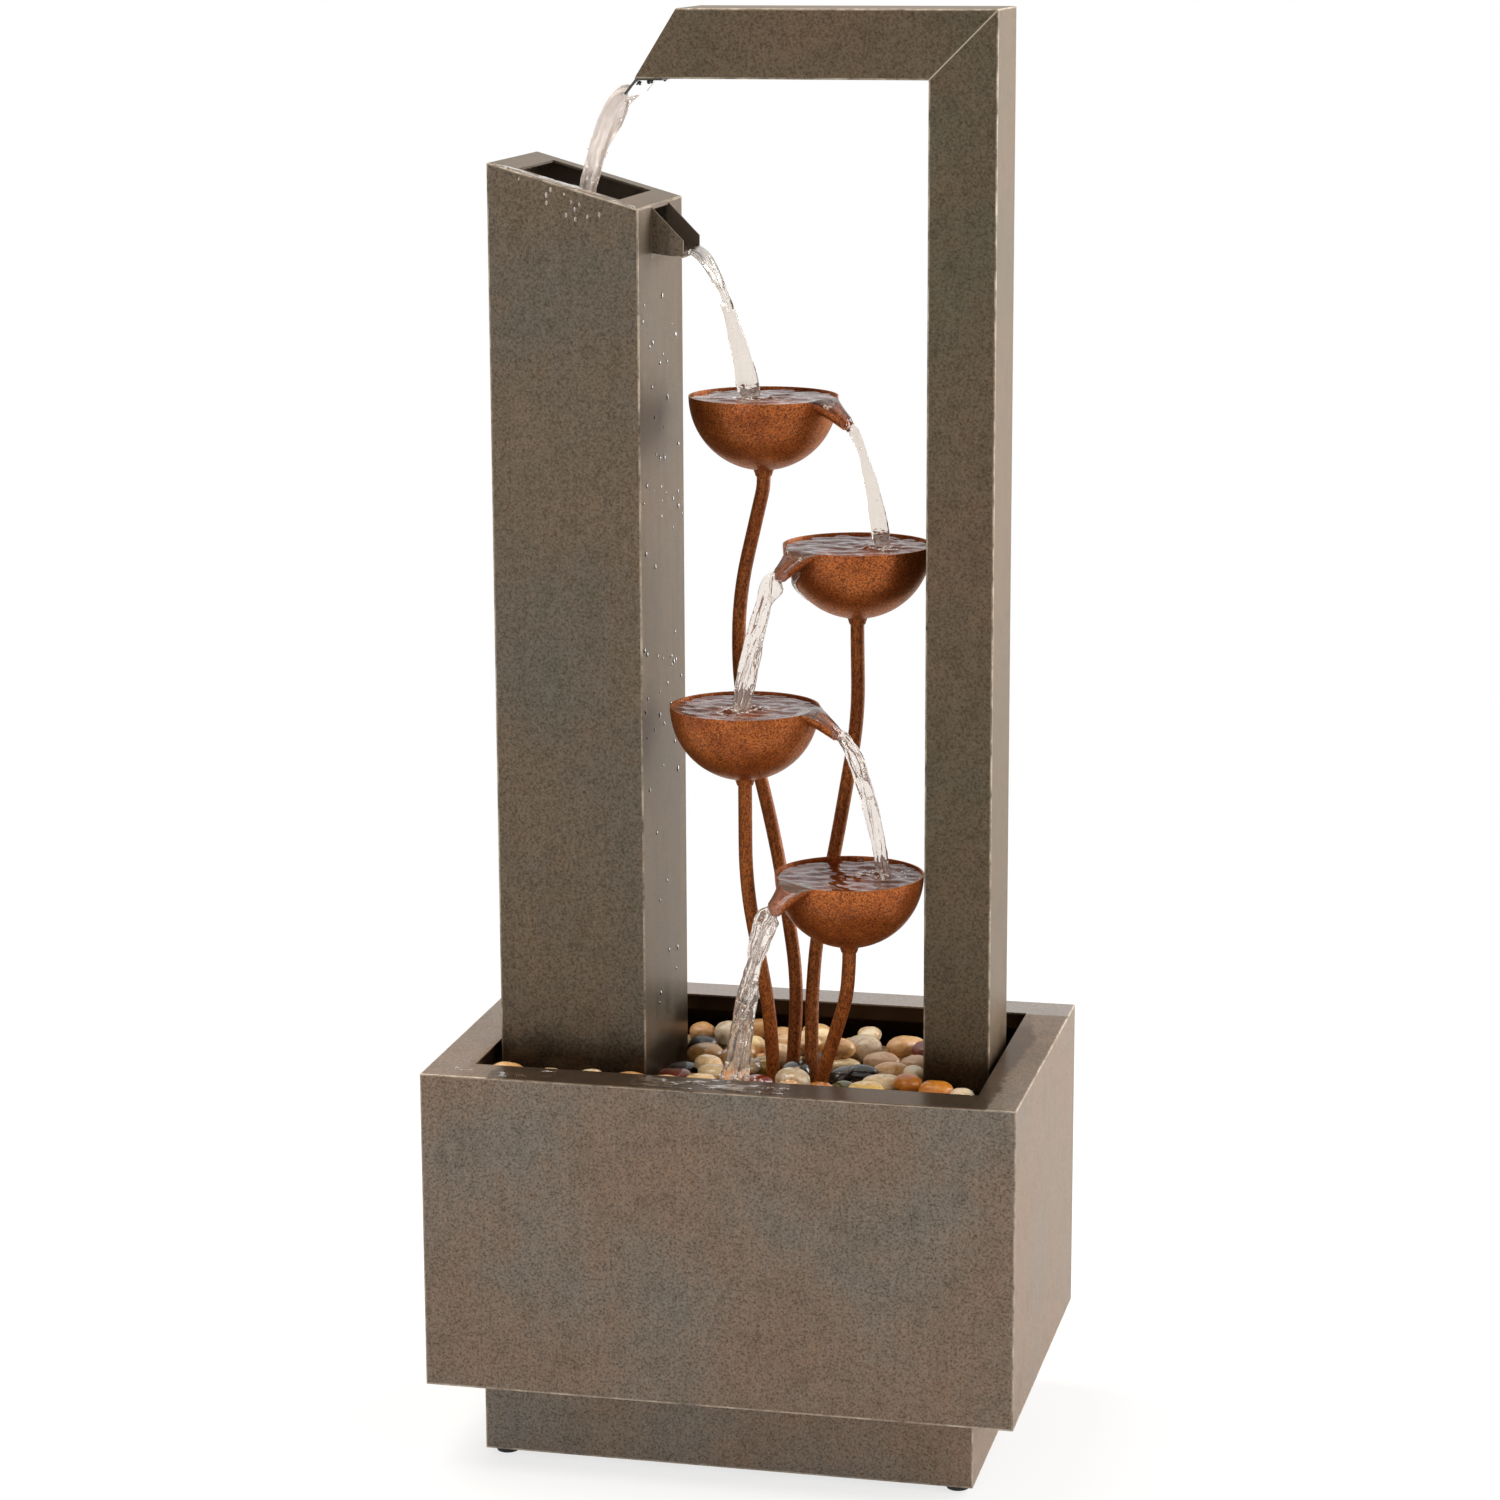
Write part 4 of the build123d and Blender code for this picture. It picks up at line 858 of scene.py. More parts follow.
@dataclass
class Studio:
    """Camera, soft lights, white surroundings and a pale floor.

    Attributes:
        camera_mm: Place of the camera.
        yaw_deg: Its turn to the left of Y.
        pitch_deg: How far it looks down.
        roll_deg: Its tilt about its own axis.
        lens_mm: Its focal length.
        sensor_mm: Width of its sensor.
        ambient: Strength of the surroundings as a light.
        floor_size: Side of the floor.
        floor_glow: Brightness of the floor as it is seen.
        floor_fade: Distances at which it begins to fade into the surroundings and is gone.
        lamps: Name, place, target, side, power in watts and colour of each square lamp.
    """

    camera_mm: Triple = (628.4, -2749.3, 1122.0)
    yaw_deg: float = 12.960
    pitch_deg: float = 12.151
    roll_deg: float = -0.224
    lens_mm: float = 95.8
    sensor_mm: float = 36.0
    ambient: float = 0.33
    floor_size: float = 12.0
    floor_glow: float = 0.74
    floor_fade: Pair = (0.7, 2.2)
    lamps: tuple[tuple[str, Triple, Triple, float, float, str], ...] = (
        ("side_lamp", (2.4, -0.4, 1.2), (0, 0, 0.5), 1.8, 38, "#fff2e4"),
        ("back_lamp", (1.8, 1.4, 0.9), (0, 0, 0.4), 1.8, 62, "#ffffff"),
        ("top_lamp", (-1.1, 0.0, 2.9), (0, 0, 0.3), 2.2, 92, "#fff6ec"),
        ("front_lamp", (-0.7, -2.2, 0.5), (0, 0, 0.15), 1.4, 9, "#ffffff"),
    )

    def camera(self) -> None:
        """Stand the camera where the photograph was taken from."""
        yaw, pitch, roll = (math.radians(v) for v in (self.yaw_deg, self.pitch_deg, self.roll_deg))
        level = math.cos(pitch)
        forward = Vector((-math.sin(yaw) * level, math.cos(yaw) * level, -math.sin(pitch)))
        right = forward.cross(Vector((0, 0, 1))).normalized()
        down = forward.cross(right)
        across = math.cos(roll) * right - math.sin(roll) * down
        upward = -(math.sin(roll) * right + math.cos(roll) * down)
        data = bpy.data.cameras.new("camera")
        data.lens = self.lens_mm
        data.sensor_width = self.sensor_mm
        data.sensor_fit = "HORIZONTAL"
        data.clip_end = 2 * self.floor_size
        eye = bpy.data.objects.new("camera", data)
        turn = Matrix((across, upward, -forward)).transposed()
        eye.matrix_world = Matrix.Translation(Vector(self.camera_mm) * MM) @ turn.to_4x4()
        bpy.context.scene.collection.objects.link(eye)
        bpy.context.scene.camera = eye

    def light(self) -> None:
        """Hang the lamps, each turned to its target."""
        for name, place, target, size, power, tone in self.lamps:
            data = bpy.data.lights.new(name, "AREA")
            data.color = linear(tone)[:3]
            data.size = size
            data.energy = power
            lamp = bpy.data.objects.new(name, data)
            lamp.location = place
            lamp.rotation_euler = (Vector(target) - Vector(place)).to_track_quat("-Z", "Y").to_euler()
            bpy.context.scene.collection.objects.link(lamp)

    def seen(self, tree: Tree) -> Node:
        """Mask of the rays that show the surroundings themselves: straight, mirrored or through water.

        Args:
            tree: Node tree.

        Returns:
            The mask.
        """
        ray = add(tree, "LightPath").outputs
        first = add(tree, "Math", [ray["Is Camera Ray"], ray["Is Glossy Ray"]], "MAXIMUM")
        return add(tree, "Math", [first, ray["Is Transmission Ray"]], "MAXIMUM")

    def world(self) -> None:
        """White surroundings that light the object softly."""
        world = bpy.data.worlds.new("studio")
        bpy.context.scene.world = world
        world.use_nodes = True
        tree = world.node_tree
        tree.nodes.clear()
        strength = add(tree, "MapRange", {"Value": self.seen(tree), "To Min": self.ambient, "To Max": 1.0})
        white = add(tree, "Background", {"Color": linear("#ffffff"), "Strength": strength})
        add(tree, "OutputWorld", {"Surface": white})

    def floor(self) -> None:
        """Pale floor that keeps a soft shadow under the fountain."""
        made = bpy.data.materials.new("floor")
        made.use_nodes = True
        tree = made.node_tree
        tree.nodes.clear()
        pale, shade = (add(tree, "BsdfDiffuse", {"Color": linear(code)}) for code in ("#e4e4e4", "#8a8a8a"))
        glow = add(tree, "Emission", {"Color": linear("#ffffff"), "Strength": self.floor_glow})
        shown = add(tree, "AddShader", [shade, glow])
        both = add(tree, "MixShader", [self.seen(tree), pale, shown])
        away = add(tree, "VectorMath", [add(tree, "TexCoord").outputs["Object"]], "LENGTH")
        fade = add(tree, "MapRange", {"Value": away.outputs["Value"], "From Min": self.floor_fade[0],
                                      "From Max": self.floor_fade[1]}, interpolation_type="SMOOTHSTEP")
        hidden = add(tree, "Math", [fade, self.seen(tree)], "MULTIPLY")
        ended = add(tree, "MixShader", [hidden, both, add(tree, "BsdfTransparent")])
        add(tree, "OutputMaterial", {"Surface": ended})
        half = self.floor_size / 2
        mesh = bpy.data.meshes.new("floor")
        mesh.from_pydata([(-half, -half, 0), (half, -half, 0), (half, half, 0), (-half, half, 0)], [],
                         [(0, 1, 2, 3)])
        mesh.materials.append(made)
        floor = bpy.data.objects.new("floor", mesh)
        bpy.context.scene.collection.objects.link(floor)

    def build(self) -> None:
        """Set up the whole studio."""
        bpy.context.scene.view_settings.view_transform = "Standard"
        self.camera()
        self.world()
        self.floor()
        self.light()


@dataclass
class SheetWork:
    """The folded sheet: plinth, basin, column and arch, and what is inside them.

    Attributes:
        basin: Box of the basin.
        plinth: Box of the plinth.
        column: Box of the column, with its slanted top.
        chute: Box of the chute.
        post: Box of the arch's upright tube.
        arm: Box of its level tube.
        olive: Patina colours of the column.
        umber: Patina colours of the arch.
        base_dark_top_mm: Height up to which the column and the arch are darker towards the bottom.
        hidden: Nodes that are out of sight or in the wet.
        dark: Finish of those.
    """

    basin: Shell = Shell((-215, -139, 64.5), (215, 139, BASIN_RIM_MM))
    plinth: Shell = Shell((-181, -105, 5), (181, 105, 64.5))
    column: Shell = Shell((-176.25, -63.5, 200), (-67.75, 63.5, COLUMN_RIM_MM), slope=COLUMN_SLOPE)
    chute: Shell = Shell((-69, -25, 870.4), (-44, 25, 912))
    post: Shell = Shell((131, -38, 200), (179, 38, 1043))
    arm: Shell = Shell((-76, -38, 995), (179, 38, 1043))
    olive: tuple[str, str, str] = ("#6c6a65", "#706a62", "#756b5f")
    umber: tuple[str, str, str] = ("#646156", "#6b6255", "#706355")
    base_dark_top_mm: float = 320.0
    hidden: tuple[str, ...] = (
        "column_trough", "column_foot_frame", "arch_foot_plate", "arm_lip", "stone_deck", "pump_hatch",
        "deck_ledges", "stem_plate")
    dark: PlainStuff = PlainStuff("dark_sheet", "#1f1f1c", "#2e2c27", 0.4, 0.2, 1.6)

    def finishes(self) -> dict[tuple[str, ...], Finish]:
        """Finish for the starts of the nodes' names.

        Returns:
            The finishes.
        """
        return {
            # The basin's inside colour is painted shade with a painted warm reflection of the copper and the
            # stones.
            ("basin_",): PatinaSheet("basin_patina", (self.basin,), inner="#281d15", wet_rim=True),
            ("plinth_",): PatinaSheet("plinth_patina", (self.plinth,), low_dark_full_mm=-30.0),
            ("column_",): PatinaSheet("column_patina", (self.column, self.chute), self.olive,
                                      self.base_dark_top_mm, inner="#6a5f54", runs=True),
            ("arch_", "arm_end"): MitredSheet("arch_patina", (self.post, self.arm), self.umber,
                                              self.base_dark_top_mm),
        }

    def build(self, nodes: Objects) -> None:
        """Dress every sheet node.

        Args:
            nodes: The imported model's objects.
        """
        finishes = self.finishes()
        for name, node in nodes.items():
            for starts, finish in finishes.items():
                if name.startswith(starts) and name not in self.hidden:
                    paint(node, finish)
        for name in self.hidden:
            paint(nodes[name], self.dark)


@dataclass(frozen=True)
class Bowl:
    """One tier: where its bowl is, which way it pours and where the fall above lands in it. Millimetres.

    Attributes:
        name: Name of its node.
        x: Middle along X.
        y: Middle along Y.
        rim: Height of its rim.
        spout_deg: Bearing of its spout.
        landing: X and Y at which the fall above lands.
    """

    name: str
    x: float
    y: float
    rim: float
    spout_deg: float
    landing: Pair

    # Distance from the landing at which the water wells up, and how far out clinging water starts.
    BOIL_MM: ClassVar[float] = 13.0
    OUTSIDE_MM: ClassVar[float] = 53.3
    # Stations of the water in the spout: distance out, height of its edges above the rim, half width, height
    # of its crown above the edges and depth below them.
    STREAM_MM: ClassVar[Rows] = (
        (40.0, -2.8, 12.0, 0.8, 2.0), (44.0, -2.0, 17.0, 0.9, 3.0), (47.5, -1.2, 20.6, 1.1, 5.0),
        (51.5, -1.2, 17.1, 2.0, 7.4), (55.0, -3.0, 13.8, 2.8, 8.2), (59.0, -5.4, 11.1, 3.1, 8.4),
        (63.5, -9.0, 9.0, 3.1, 7.8), (68.5, -13.0, 7.6, 3.0, 6.8), (70.6, -15.0, 6.6, 2.6, 5.6),
        (72.0, -16.8, 5.0, 2.0, 4.0))

    def point(self, along: float, across: float, rise: float) -> Vector:
        """Point along and across the spout's way and above the rim, in millimetres."""
        turn = math.radians(self.spout_deg)
        return Vector((self.x + along * math.cos(turn) - across * math.sin(turn),
                       self.y + along * math.sin(turn) + across * math.cos(turn), self.rim + rise))

    def stream(self, draft: Draft) -> None:
        """Add the water that pours over the spout's lip.

        Args:
            draft: Mesh that takes it.
        """
        around, between = 48, 5
        first = len(draft.verts)
        for here, there in zip(self.STREAM_MM, self.STREAM_MM[1:]):
            for part in range(between):
                along, edge, half, crown, deep = (a + (b - a) * part / between for a, b in zip(here, there))
                for c, s in circle(around):
                    rise = crown * s ** 0.8 if s > 0 else deep * s
                    wave = 0.7 * noise.noise(Vector((along / 9, 1.6 * c, self.rim))) if s > 0 else 0.0
                    draft.put(self.point(along, half * c, edge + rise + wave * s))
        draft.skin(first, around)

    def cling(self, draft: Draft) -> None:
        """Add the water that creeps from under the spout down the bowl's side.

        Args:
            draft: Mesh that takes it.
        """
        rows, around = 40, 24
        start_deg, fall_deg, start_sway_deg, sway_deg = 15, 34, -4, -26
        half_mm, thick_mm, thread_mm = 5.0, 3.6, 0.8
        first = len(draft.verts)
        for row in range(rows + 1):
            share = row / rows
            fall = math.radians(start_deg + fall_deg * share)
            sway = math.radians(start_sway_deg + sway_deg * smooth(0.0, 0.7, share))
            half = half_mm * (1 - share) ** 0.7 + thread_mm
            thick = thick_mm * (1 - share) ** 1.2 + thread_mm
            for c, s in circle(around):
                reach = self.OUTSIDE_MM + thick / 2 + thick / 2 * c
                bearing = sway + half * s / (self.OUTSIDE_MM + 0.2)
                draft.put(self.point(reach * math.cos(fall) * math.cos(bearing),
                                     reach * math.cos(fall) * math.sin(bearing), -reach * math.sin(fall)))
        draft.skin(first, around)


@dataclass
class Tiers:
    """The four bowls, their stems and the water in them. Millimetres.

    Attributes:
        bowls: The bowls, from top to bottom.
        radius: Half size of the water, just inside the metal.
        level: Height of the water above the rim.
        bubble_count: Bubbles in each bowl.
        copper: Finish of the bowls.
        bar: Finish of the stems, drawn bar with a finer and longer pattern.
        still: Water in the bowls, brown from the bowl below it.
        foam: Water with air in it.
    """

    bowls: tuple[Bowl, ...] = (
        Bowl("bowl_1", 3.3, 14.0, 770.5, -20.0, (-1.0, 6.0)),
        Bowl("bowl_2", 72.3, 12.0, 665.9, 230.0, (91.0, 3.0)),
        Bowl("bowl_3", -0.2, -34.0, 554.3, -8.0, (1.0, -44.0)),
        Bowl("bowl_4", 76.0, -34.0, 435.0, 232.0, (95.0, -25.0)),
    )
    radius: float = 52.7
    level: float = -1.6
    bubble_count: int = 70
    copper: RustedCopper = RustedCopper()
    bar: RustedCopper = RustedCopper("rusted_bar", "#8c471e", "#ae652f", "#391708", "#b86a34", pit_mm=1.1,
                                     patch_mm=14.0, roughness=0.5, streak=0.5, metallic=0.15, coat=0.0)
    still: ClearWater = ClearWater("still_water", "#c8b8aa", 5.0, 0.3, 0.97, 1.0, "#ead2c0", tint="#c89878")
    foam: ClearWater = ClearWater("foam_water", "#cfc7bd", 3.0, 0.35, 0.6, 1.0, "#fbf7f2", air=0.5)

    # Height, spacing and reach of the rings round the landing, and of those round the swell.
    RINGS: ClassVar[Triple] = (1.1, 1.9, 11.0)
    BOIL_RINGS: ClassVar[Triple] = (0.6, 1.1, 6.0)
    # Height and spread of the swell, and the reach of the chop with what is left of it far away.
    SWELL: ClassVar[Pair] = (1.6, 7.0)
    CHOP_REACH: ClassVar[float] = 45.0
    CHOP_LEFT: ClassVar[float] = 0.3

    def wave(self, bowl: Bowl, x: float, y: float) -> float:
        """Height of the ripples on a bowl's water.

        Args:
            bowl: The bowl.
            x: Place along X.
            y: Place along Y.

        Returns:
            Rings round the landing, a swell where the water wells up, and chop that dies away from there.
        """
        away = math.hypot(x - bowl.landing[0], y - bowl.landing[1])
        boil = bowl.point(bowl.BOIL_MM, 0.0, 0.0)
        near = math.hypot(x - bowl.landing[0] - boil.x + bowl.x, y - bowl.landing[1] - boil.y + bowl.y)
        rings, boil_rings = (
            high * math.cos(way / spacing) * math.exp(-way / reach)
            for way, (high, spacing, reach) in ((away, self.RINGS), (near, self.BOIL_RINGS)))
        swell = self.SWELL[0] * math.exp(-(near / self.SWELL[1]) ** 2) + boil_rings
        chop = 2.1 * noise.noise(Vector((x / 15, y / 8, bowl.rim)))
        chop += 0.35 * noise.noise(Vector((x / 5, y / 3, 7)))
        left = self.CHOP_LEFT + (1 - self.CHOP_LEFT) * math.exp(-away / self.CHOP_REACH)
        return rings + swell + chop * left

    def pool(self, bowl: Bowl) -> None:
        """Fill a bowl with water, calm at the rim.

        Args:
            bowl: The bowl.
        """
        rings, spokes, floor_rings = 56, 144, 14
        draft = Draft()
        surface = math.sqrt(self.radius ** 2 - self.level ** 2)
        for ring in range(rings + 1):
            reach = surface * ring / rings
            calm = smooth(1.0, 0.93, ring / rings)
            for c, s in circle(spokes):
                x, y = bowl.x + reach * c, bowl.y + reach * s
                draft.put((x, y, bowl.rim + self.level + calm * self.wave(bowl, x, y)))
        for ring in range(1, floor_rings + 1):
            tilt = math.asin(surface / self.radius) * (1 - ring / floor_rings)
            reach, drop = self.radius * math.sin(tilt), self.radius * math.cos(tilt)
            for c, s in circle(spokes):
                draft.put((bowl.x + reach * c, bowl.y + reach * s, bowl.rim - drop))
        draft.skin(0, spokes, False)
        draft.faces = [face[::-1] for face in draft.faces]
        draft.place(bowl.name + "_water", self.still)

    def bubbles(self, bowl: Bowl) -> None:
        """Float bubbles round the place where a fall lands.

        Args:
            bowl: The bowl.
        """
        dice = random.Random(bowl.name)
        draft = Draft()
        for _ in range(self.bubble_count):
            turn = dice.uniform(0, TURN)
            reach = 4.5 + abs(dice.gauss(0, 8.0))
            x, y = bowl.landing[0] + reach * math.cos(turn), bowl.landing[1] + 0.8 * reach * math.sin(turn)
            if math.hypot(x - bowl.x, y - bowl.y) > self.radius - 4.4:
                continue
            size = dice.uniform(0.3, 0.95)
            draft.ball((x, y, bowl.rim + self.level + self.wave(bowl, x, y)), (size, size, 0.8 * size), 8)
        draft.place(bowl.name + "_bubbles", self.foam)

    def build(self, nodes: Objects) -> None:
        """Dress the tiers and fill them.

        Args:
            nodes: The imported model's objects.
        """
        for bowl in self.bowls:
            paint(nodes[bowl.name], self.copper)
            paint(nodes[bowl.name.replace("bowl", "stem")], self.bar)
            self.pool(bowl)
            self.bubbles(bowl)
        paint(nodes["stem_collars"], self.bar)


@dataclass(frozen=True)
class Fall:
    """One free fall of water. Millimetres and seconds.

    Attributes:
        name: Name of the piece.
        start: Where it leaves its lip.
        drift: Its level speed along X and Y.
        sink: Its downward speed as it leaves.
        end_z: Height at which it lands.
        sections: Its cross-sections: share of its time, broad size, thin size and the broad side's bearing.
        rough_mm: How far its skin wanders.
        strands: Loose strands that wind round it.
        drops: Drops beside and in it.
        milky: Whether it is full of air.
        bowl: The bowl that it pours from.
        clings: Whether water clings under that bowl's spout as well.
        cell_mm: Size of its finest form.
        grooves_mm: Depth of the fine grooves along its first half.
    """

    name: str
    start: Triple
    drift: Pair
    sink: float
    end_z: float
    sections: Rows
    rough_mm: float = 0.5
    strands: int = 0
    drops: int = 0
    milky: bool = False
    bowl: str = ""
    clings: bool = False
    cell_mm: float = 0.6
    grooves_mm: float = 0.0

    def duration(self) -> float:
        """Time that the water takes to land."""
        drop = self.start[2] - self.end_z
        return (math.sqrt(self.sink ** 2 + 2 * GRAVITY_MM * drop) - self.sink) / GRAVITY_MM

    def at(self, share: float) -> Vector:
        """Middle of the fall at a share of its time."""
        time = share * self.duration()
        return Vector((self.start[0] + self.drift[0] * time, self.start[1] + self.drift[1] * time,
                       self.start[2] - self.sink * time - GRAVITY_MM * time * time / 2))

    def section(self, share: float) -> Triple:
        """Cross-section at a share of the fall's time.

        Args:
            share: The share.

        Returns:
            Broad size, thin size and the broad side's bearing in radians.
        """
        for before, after in zip(self.sections, self.sections[1:]):
            if share <= after[0]:
                part = smooth(before[0], after[0], share)
                broad, thin, bearing = (a + part * (b - a) for a, b in zip(before[1:], after[1:]))
                return broad, thin, math.radians(bearing)
        _, broad, thin, bearing = self.sections[-1]
        return broad, thin, math.radians(bearing)


@dataclass
class Waterworks:
    """The six falls and the water on the arm's lip, in the column and the basin, on the chute and the rims.

    Attributes:
        bowls: The bowls, by name.
        falls: The falls, from top to bottom.
        rows: Rings along a fall.
        around: Points in each ring.
        running: Smooth running water.
        twisted: Running water that breaks up.
        milky: Running water full of air.
        calm: Lying water.
        drop_water: Drops in the air.
        bead_water: Drops that cling to the sheet, painted dark brown and nearly opaque as a painted dark
            reflection.
    """

    bowls: dict[str, Bowl]
    falls: tuple[Fall, ...] = (
        Fall("fall_arm", (-84.0, 0.0, 986.0), (-330.0, 0.0), 60.0, 879.0,
             ((0.0, 56, 5, 90), (0.15, 48, 13, 90), (0.4, 34, 15, 90), (0.7, 22, 13, 90), (1.0, 15, 12, 90)),
             1.2, 5, 60, True),
        Fall("fall_chute", (-45.5, 0.0, 874.6), (290.0, 40.0), 40.0, 766.0,
             ((0.0, 45, 3.0, 90), (0.2, 37, 3.8, 90), (0.4, 21, 6, 90), (0.54, 9, 8, 88), (0.6, 8.4, 8, 50),
              (0.68, 9.4, 7.4, 8), (0.82, 14, 5.4, 3), (0.93, 17, 4.8, 0), (1.0, 15, 5, 0)),
             0.5, 0, 4, cell_mm=0.45, grooves_mm=1.1),
        Fall("fall_bowl_1", (69.0, -9.9, 754.0), (190.0, 105.0), 120.0, 661.4,
             ((0.0, 11, 5, 70), (0.22, 8, 5.4, 50), (0.42, 6.2, 5.6, 20), (0.7, 10.5, 4.6, 0),
              (0.88, 13.5, 4.4, 0), (1.0, 11, 6, 0)), 0.4, 0, 3, bowl="bowl_1"),
        Fall("fall_bowl_2", (27.6, -41.3, 649.5), (-215.0, -20.0), 110.0, 549.8,
             ((0.0, 12, 3.5, -30), (0.2, 15, 6, 0), (0.42, 11, 7, 20), (0.62, 12, 7, 0), (0.82, 15, 6, -15),
              (1.0, 12, 7, 0)), 0.9, 4, 14, bowl="bowl_2", clings=True),
        Fall("fall_bowl_3", (68.8, -43.7, 537.9), (235.0, 120.0), 120.0, 430.5,
             ((0.0, 11, 3.5, 80), (0.2, 9, 6, 50), (0.45, 11.6, 6, 0), (0.7, 11, 6, 20), (1.0, 8.5, 6, 0)),
             0.8, 4, 14, bowl="bowl_3"),
        Fall("fall_bowl_4", (33.1, -88.6, 418.6), (-185.0, -45.0), 110.0, 288.0,
             ((0.0, 11, 4, -30), (0.16, 18, 8, 0), (0.36, 14.5, 8, 0), (0.5, 10.5, 8, 0), (0.72, 15, 9, 0),
              (0.92, 18, 10, 0), (1.0, 24, 12, 0)), 1.2, 7, 90, bowl="bowl_4"),
    )
    rows: int = 150
    around: int = 60
    running: ClearWater = ClearWater("running_water", "#5f5850", 2.2, 0.75, 0.42, 0.92, "#e4dad0")
    twisted: ClearWater = ClearWater("twisted_water", "#6a635b", 2.2, 0.55, 0.5, 0.95, "#efe7e0", air=0.08)
    milky: ClearWater = ClearWater("milky_water", "#bdb4ae", 1.6, 0.6, 0.35, 0.95, "#d3cac4", 0.3, air=0.25)
    calm: ClearWater = ClearWater("calm_water", "#d8d4cc", 7.0, 0.3, 0.97, 1.0)
    drop_water: ClearWater = ClearWater("drop_water", "#a8a199", 4.0, 0.05, 0.55, 0.95, "#f4f0ec", air=0.25)
    # Painted dark reflection: the clinging drops are dark brown and mostly opaque rather than clear.
    bead_water: ClearWater = ClearWater("bead_water", "#1f1b17", 4.0, 0.05, 0.2, 0.8, "#3a332c", air=0.8)

    # Half sizes of the drops in the air, and how much longer than wide they are.
    DROP_MM: ClassVar[Pair] = (0.3, 0.95)
    DROP_STRETCH: ClassVar[Pair] = (1.0, 1.7)
    # Half sizes of the strands of a broken fall.
    STRAND_MM: ClassVar[Pair] = (0.8, 1.8)
    # Layers of a fall's skin: weight, ribs round it, length in millimetres and place in the noise.
    SKIN: ClassVar[Rows] = ((1.0, 2.2, 16, 1), (0.5, 5.0, 7, -1), (0.45, 1.1, 5, 2))
    # Right face of the column: fields of drops between two heights, and how many there are.
    WALL_MM: ClassVar[float] = -67.75
    WALL_FIELDS: ClassVar[tuple[tuple[int, int, int], ...]] = (
        (640, 850, 34), (500, 600, 14), (320, 640, 18))
    # Drops under the arm's lip, and drops over the column's front rim with the face that they run down.
    LIP_DROPS: ClassVar[int] = 9
    RIM_DROPS: ClassVar[int] = 12
    COLUMN_FRONT_MM: ClassVar[float] = -63.7
    # Splashes: centre, reach, height and number of drops.
    SPLASHES: ClassVar[tuple[tuple[Triple, float, float, int], ...]] = (
        ((-128, -10, 900), 20, 20, 110), ((8, -96, 291), 20, 14, 60))
    # Films: X, height of the top, half width and depth at each station.
    CHUTE_FILM: ClassVar[Rows] = (
        (-72, 878.6, 23.3, 4.0), (-66, 878.0, 23.3, 3.6), (-58, 876.6, 23.3, 3.0), (-50, 875.4, 23.2, 3.0),
        (-45.4, 874.8, 22.8, 3.0), (-43.6, 873.6, 22.2, 2.6))
    LIP_FILM: ClassVar[Rows] = (
        (-50, 999.6, 31, 3.0), (-62, 999.2, 31, 3.0), (-72, 997.8, 30.5, 3.2), (-77, 994.6, 30, 3.4),
        (-82, 988.6, 29, 3.6), (-86, 984.0, 28, 4.0))

    def tube(self, fall: Fall, draft: Draft, winding: Triple, scale: float, seed: float) -> None:
        """Add the body of a fall, or one strand of it.

        Args:
            fall: The fall.
            draft: Mesh that takes it.
            winding: Phase and pitch of a strand's winding, in turns over the fall, and its distance out as a
                share. The distance is 0 for the body.
            scale: Size against the fall's own section, or a strand's half size in millimetres.
            seed: Place in the noise.
        """
        first = len(draft.verts)
        phase, pitch, out = winding
        for row in range(self.rows + 1):
            share = row / self.rows
            along = (fall.at(share + 0.01) - fall.at(share - 0.01)).normalized()
            broad, thin, bearing = fall.section(share)
            level = Vector((math.cos(bearing), math.sin(bearing), 0))
            side = (level - level.dot(along) * along).normalized()
            face = along.cross(side)
            swing = TURN * (phase + pitch * share)
            middle = fall.at(share)
            middle = middle + out * (broad / 2 * math.cos(swing) * side + thin / 2 * math.sin(swing) * face)
            run = (fall.at(share) - fall.at(0)).length
            growth = 0.35 + 0.65 * smooth(0.0, 0.5, share)
            half_broad, half_thin = scale * broad / 2, scale * thin / 2
            if out:
                half_broad = half_thin = scale * (1.0 + 0.5 * noise.noise(Vector((run / 9, seed, 3))))
            for c, s in circle(self.around):
                lip = 1.0 if out else 0.5 + 0.9 * c * c
                wander = sum(weight * noise.noise(Vector((ribs * c, ribs * s, run / length + turn * seed)))
                             for weight, ribs, length, turn in self.SKIN)
                skin = fall.rough_mm * growth * wander * (0.5 if out else 1.0)
                groove = noise.noise(Vector((11 * c, 11 * s, run / 45)))
                skin += fall.grooves_mm * smooth(0.7, 0.5, share) * groove
                across, through = half_broad * c + skin * c, half_thin * s * lip + skin * s
                draft.put(middle + across * side + through * face)
        draft.skin(first, self.around)

    def pour(self, fall: Fall) -> None:
        """Build a fall's body, its strands and its drops.

        Args:
            fall: The fall.
        """
        draft = Draft()
        seed = 3.7 * len(fall.name) + fall.start[0] / 10
        self.tube(fall, draft, (0.0, 0.0, 0.0), 1.0, seed)
        dice = random.Random(fall.name)
        for strand in range(fall.strands):
            winding = (dice.random(), dice.uniform(-0.7, 0.7), dice.uniform(0.75, 1.05))
            self.tube(fall, draft, winding, dice.uniform(*self.STRAND_MM), seed + 5.1 * (strand + 1))
        if fall.bowl:
            self.bowls[fall.bowl].stream(draft)
        if fall.clings:
            self.bowls[fall.bowl].cling(draft)
        finish = self.milky if fall.milky else self.twisted if fall.strands else self.running
        fuse(draft.place(fall.name, finish), fall.cell_mm)
        draft = Draft()
        for _ in range(fall.drops):
            share = dice.uniform(0.08, 1.0)
            broad, thin, bearing = fall.section(share)
            out = dice.uniform(0.2, 1.0) * broad / 2 + max(0.0, dice.gauss(-1.5, 1.6)) * (0.3 + share)
            turn = dice.uniform(0, TURN)
            across = Vector((math.cos(bearing), math.sin(bearing), 0)) * out * math.cos(turn)
            across += Vector((-math.sin(bearing), math.cos(bearing), 0)) * (thin / 2 + 0.4) * math.sin(turn)
            size = dice.uniform(*self.DROP_MM)
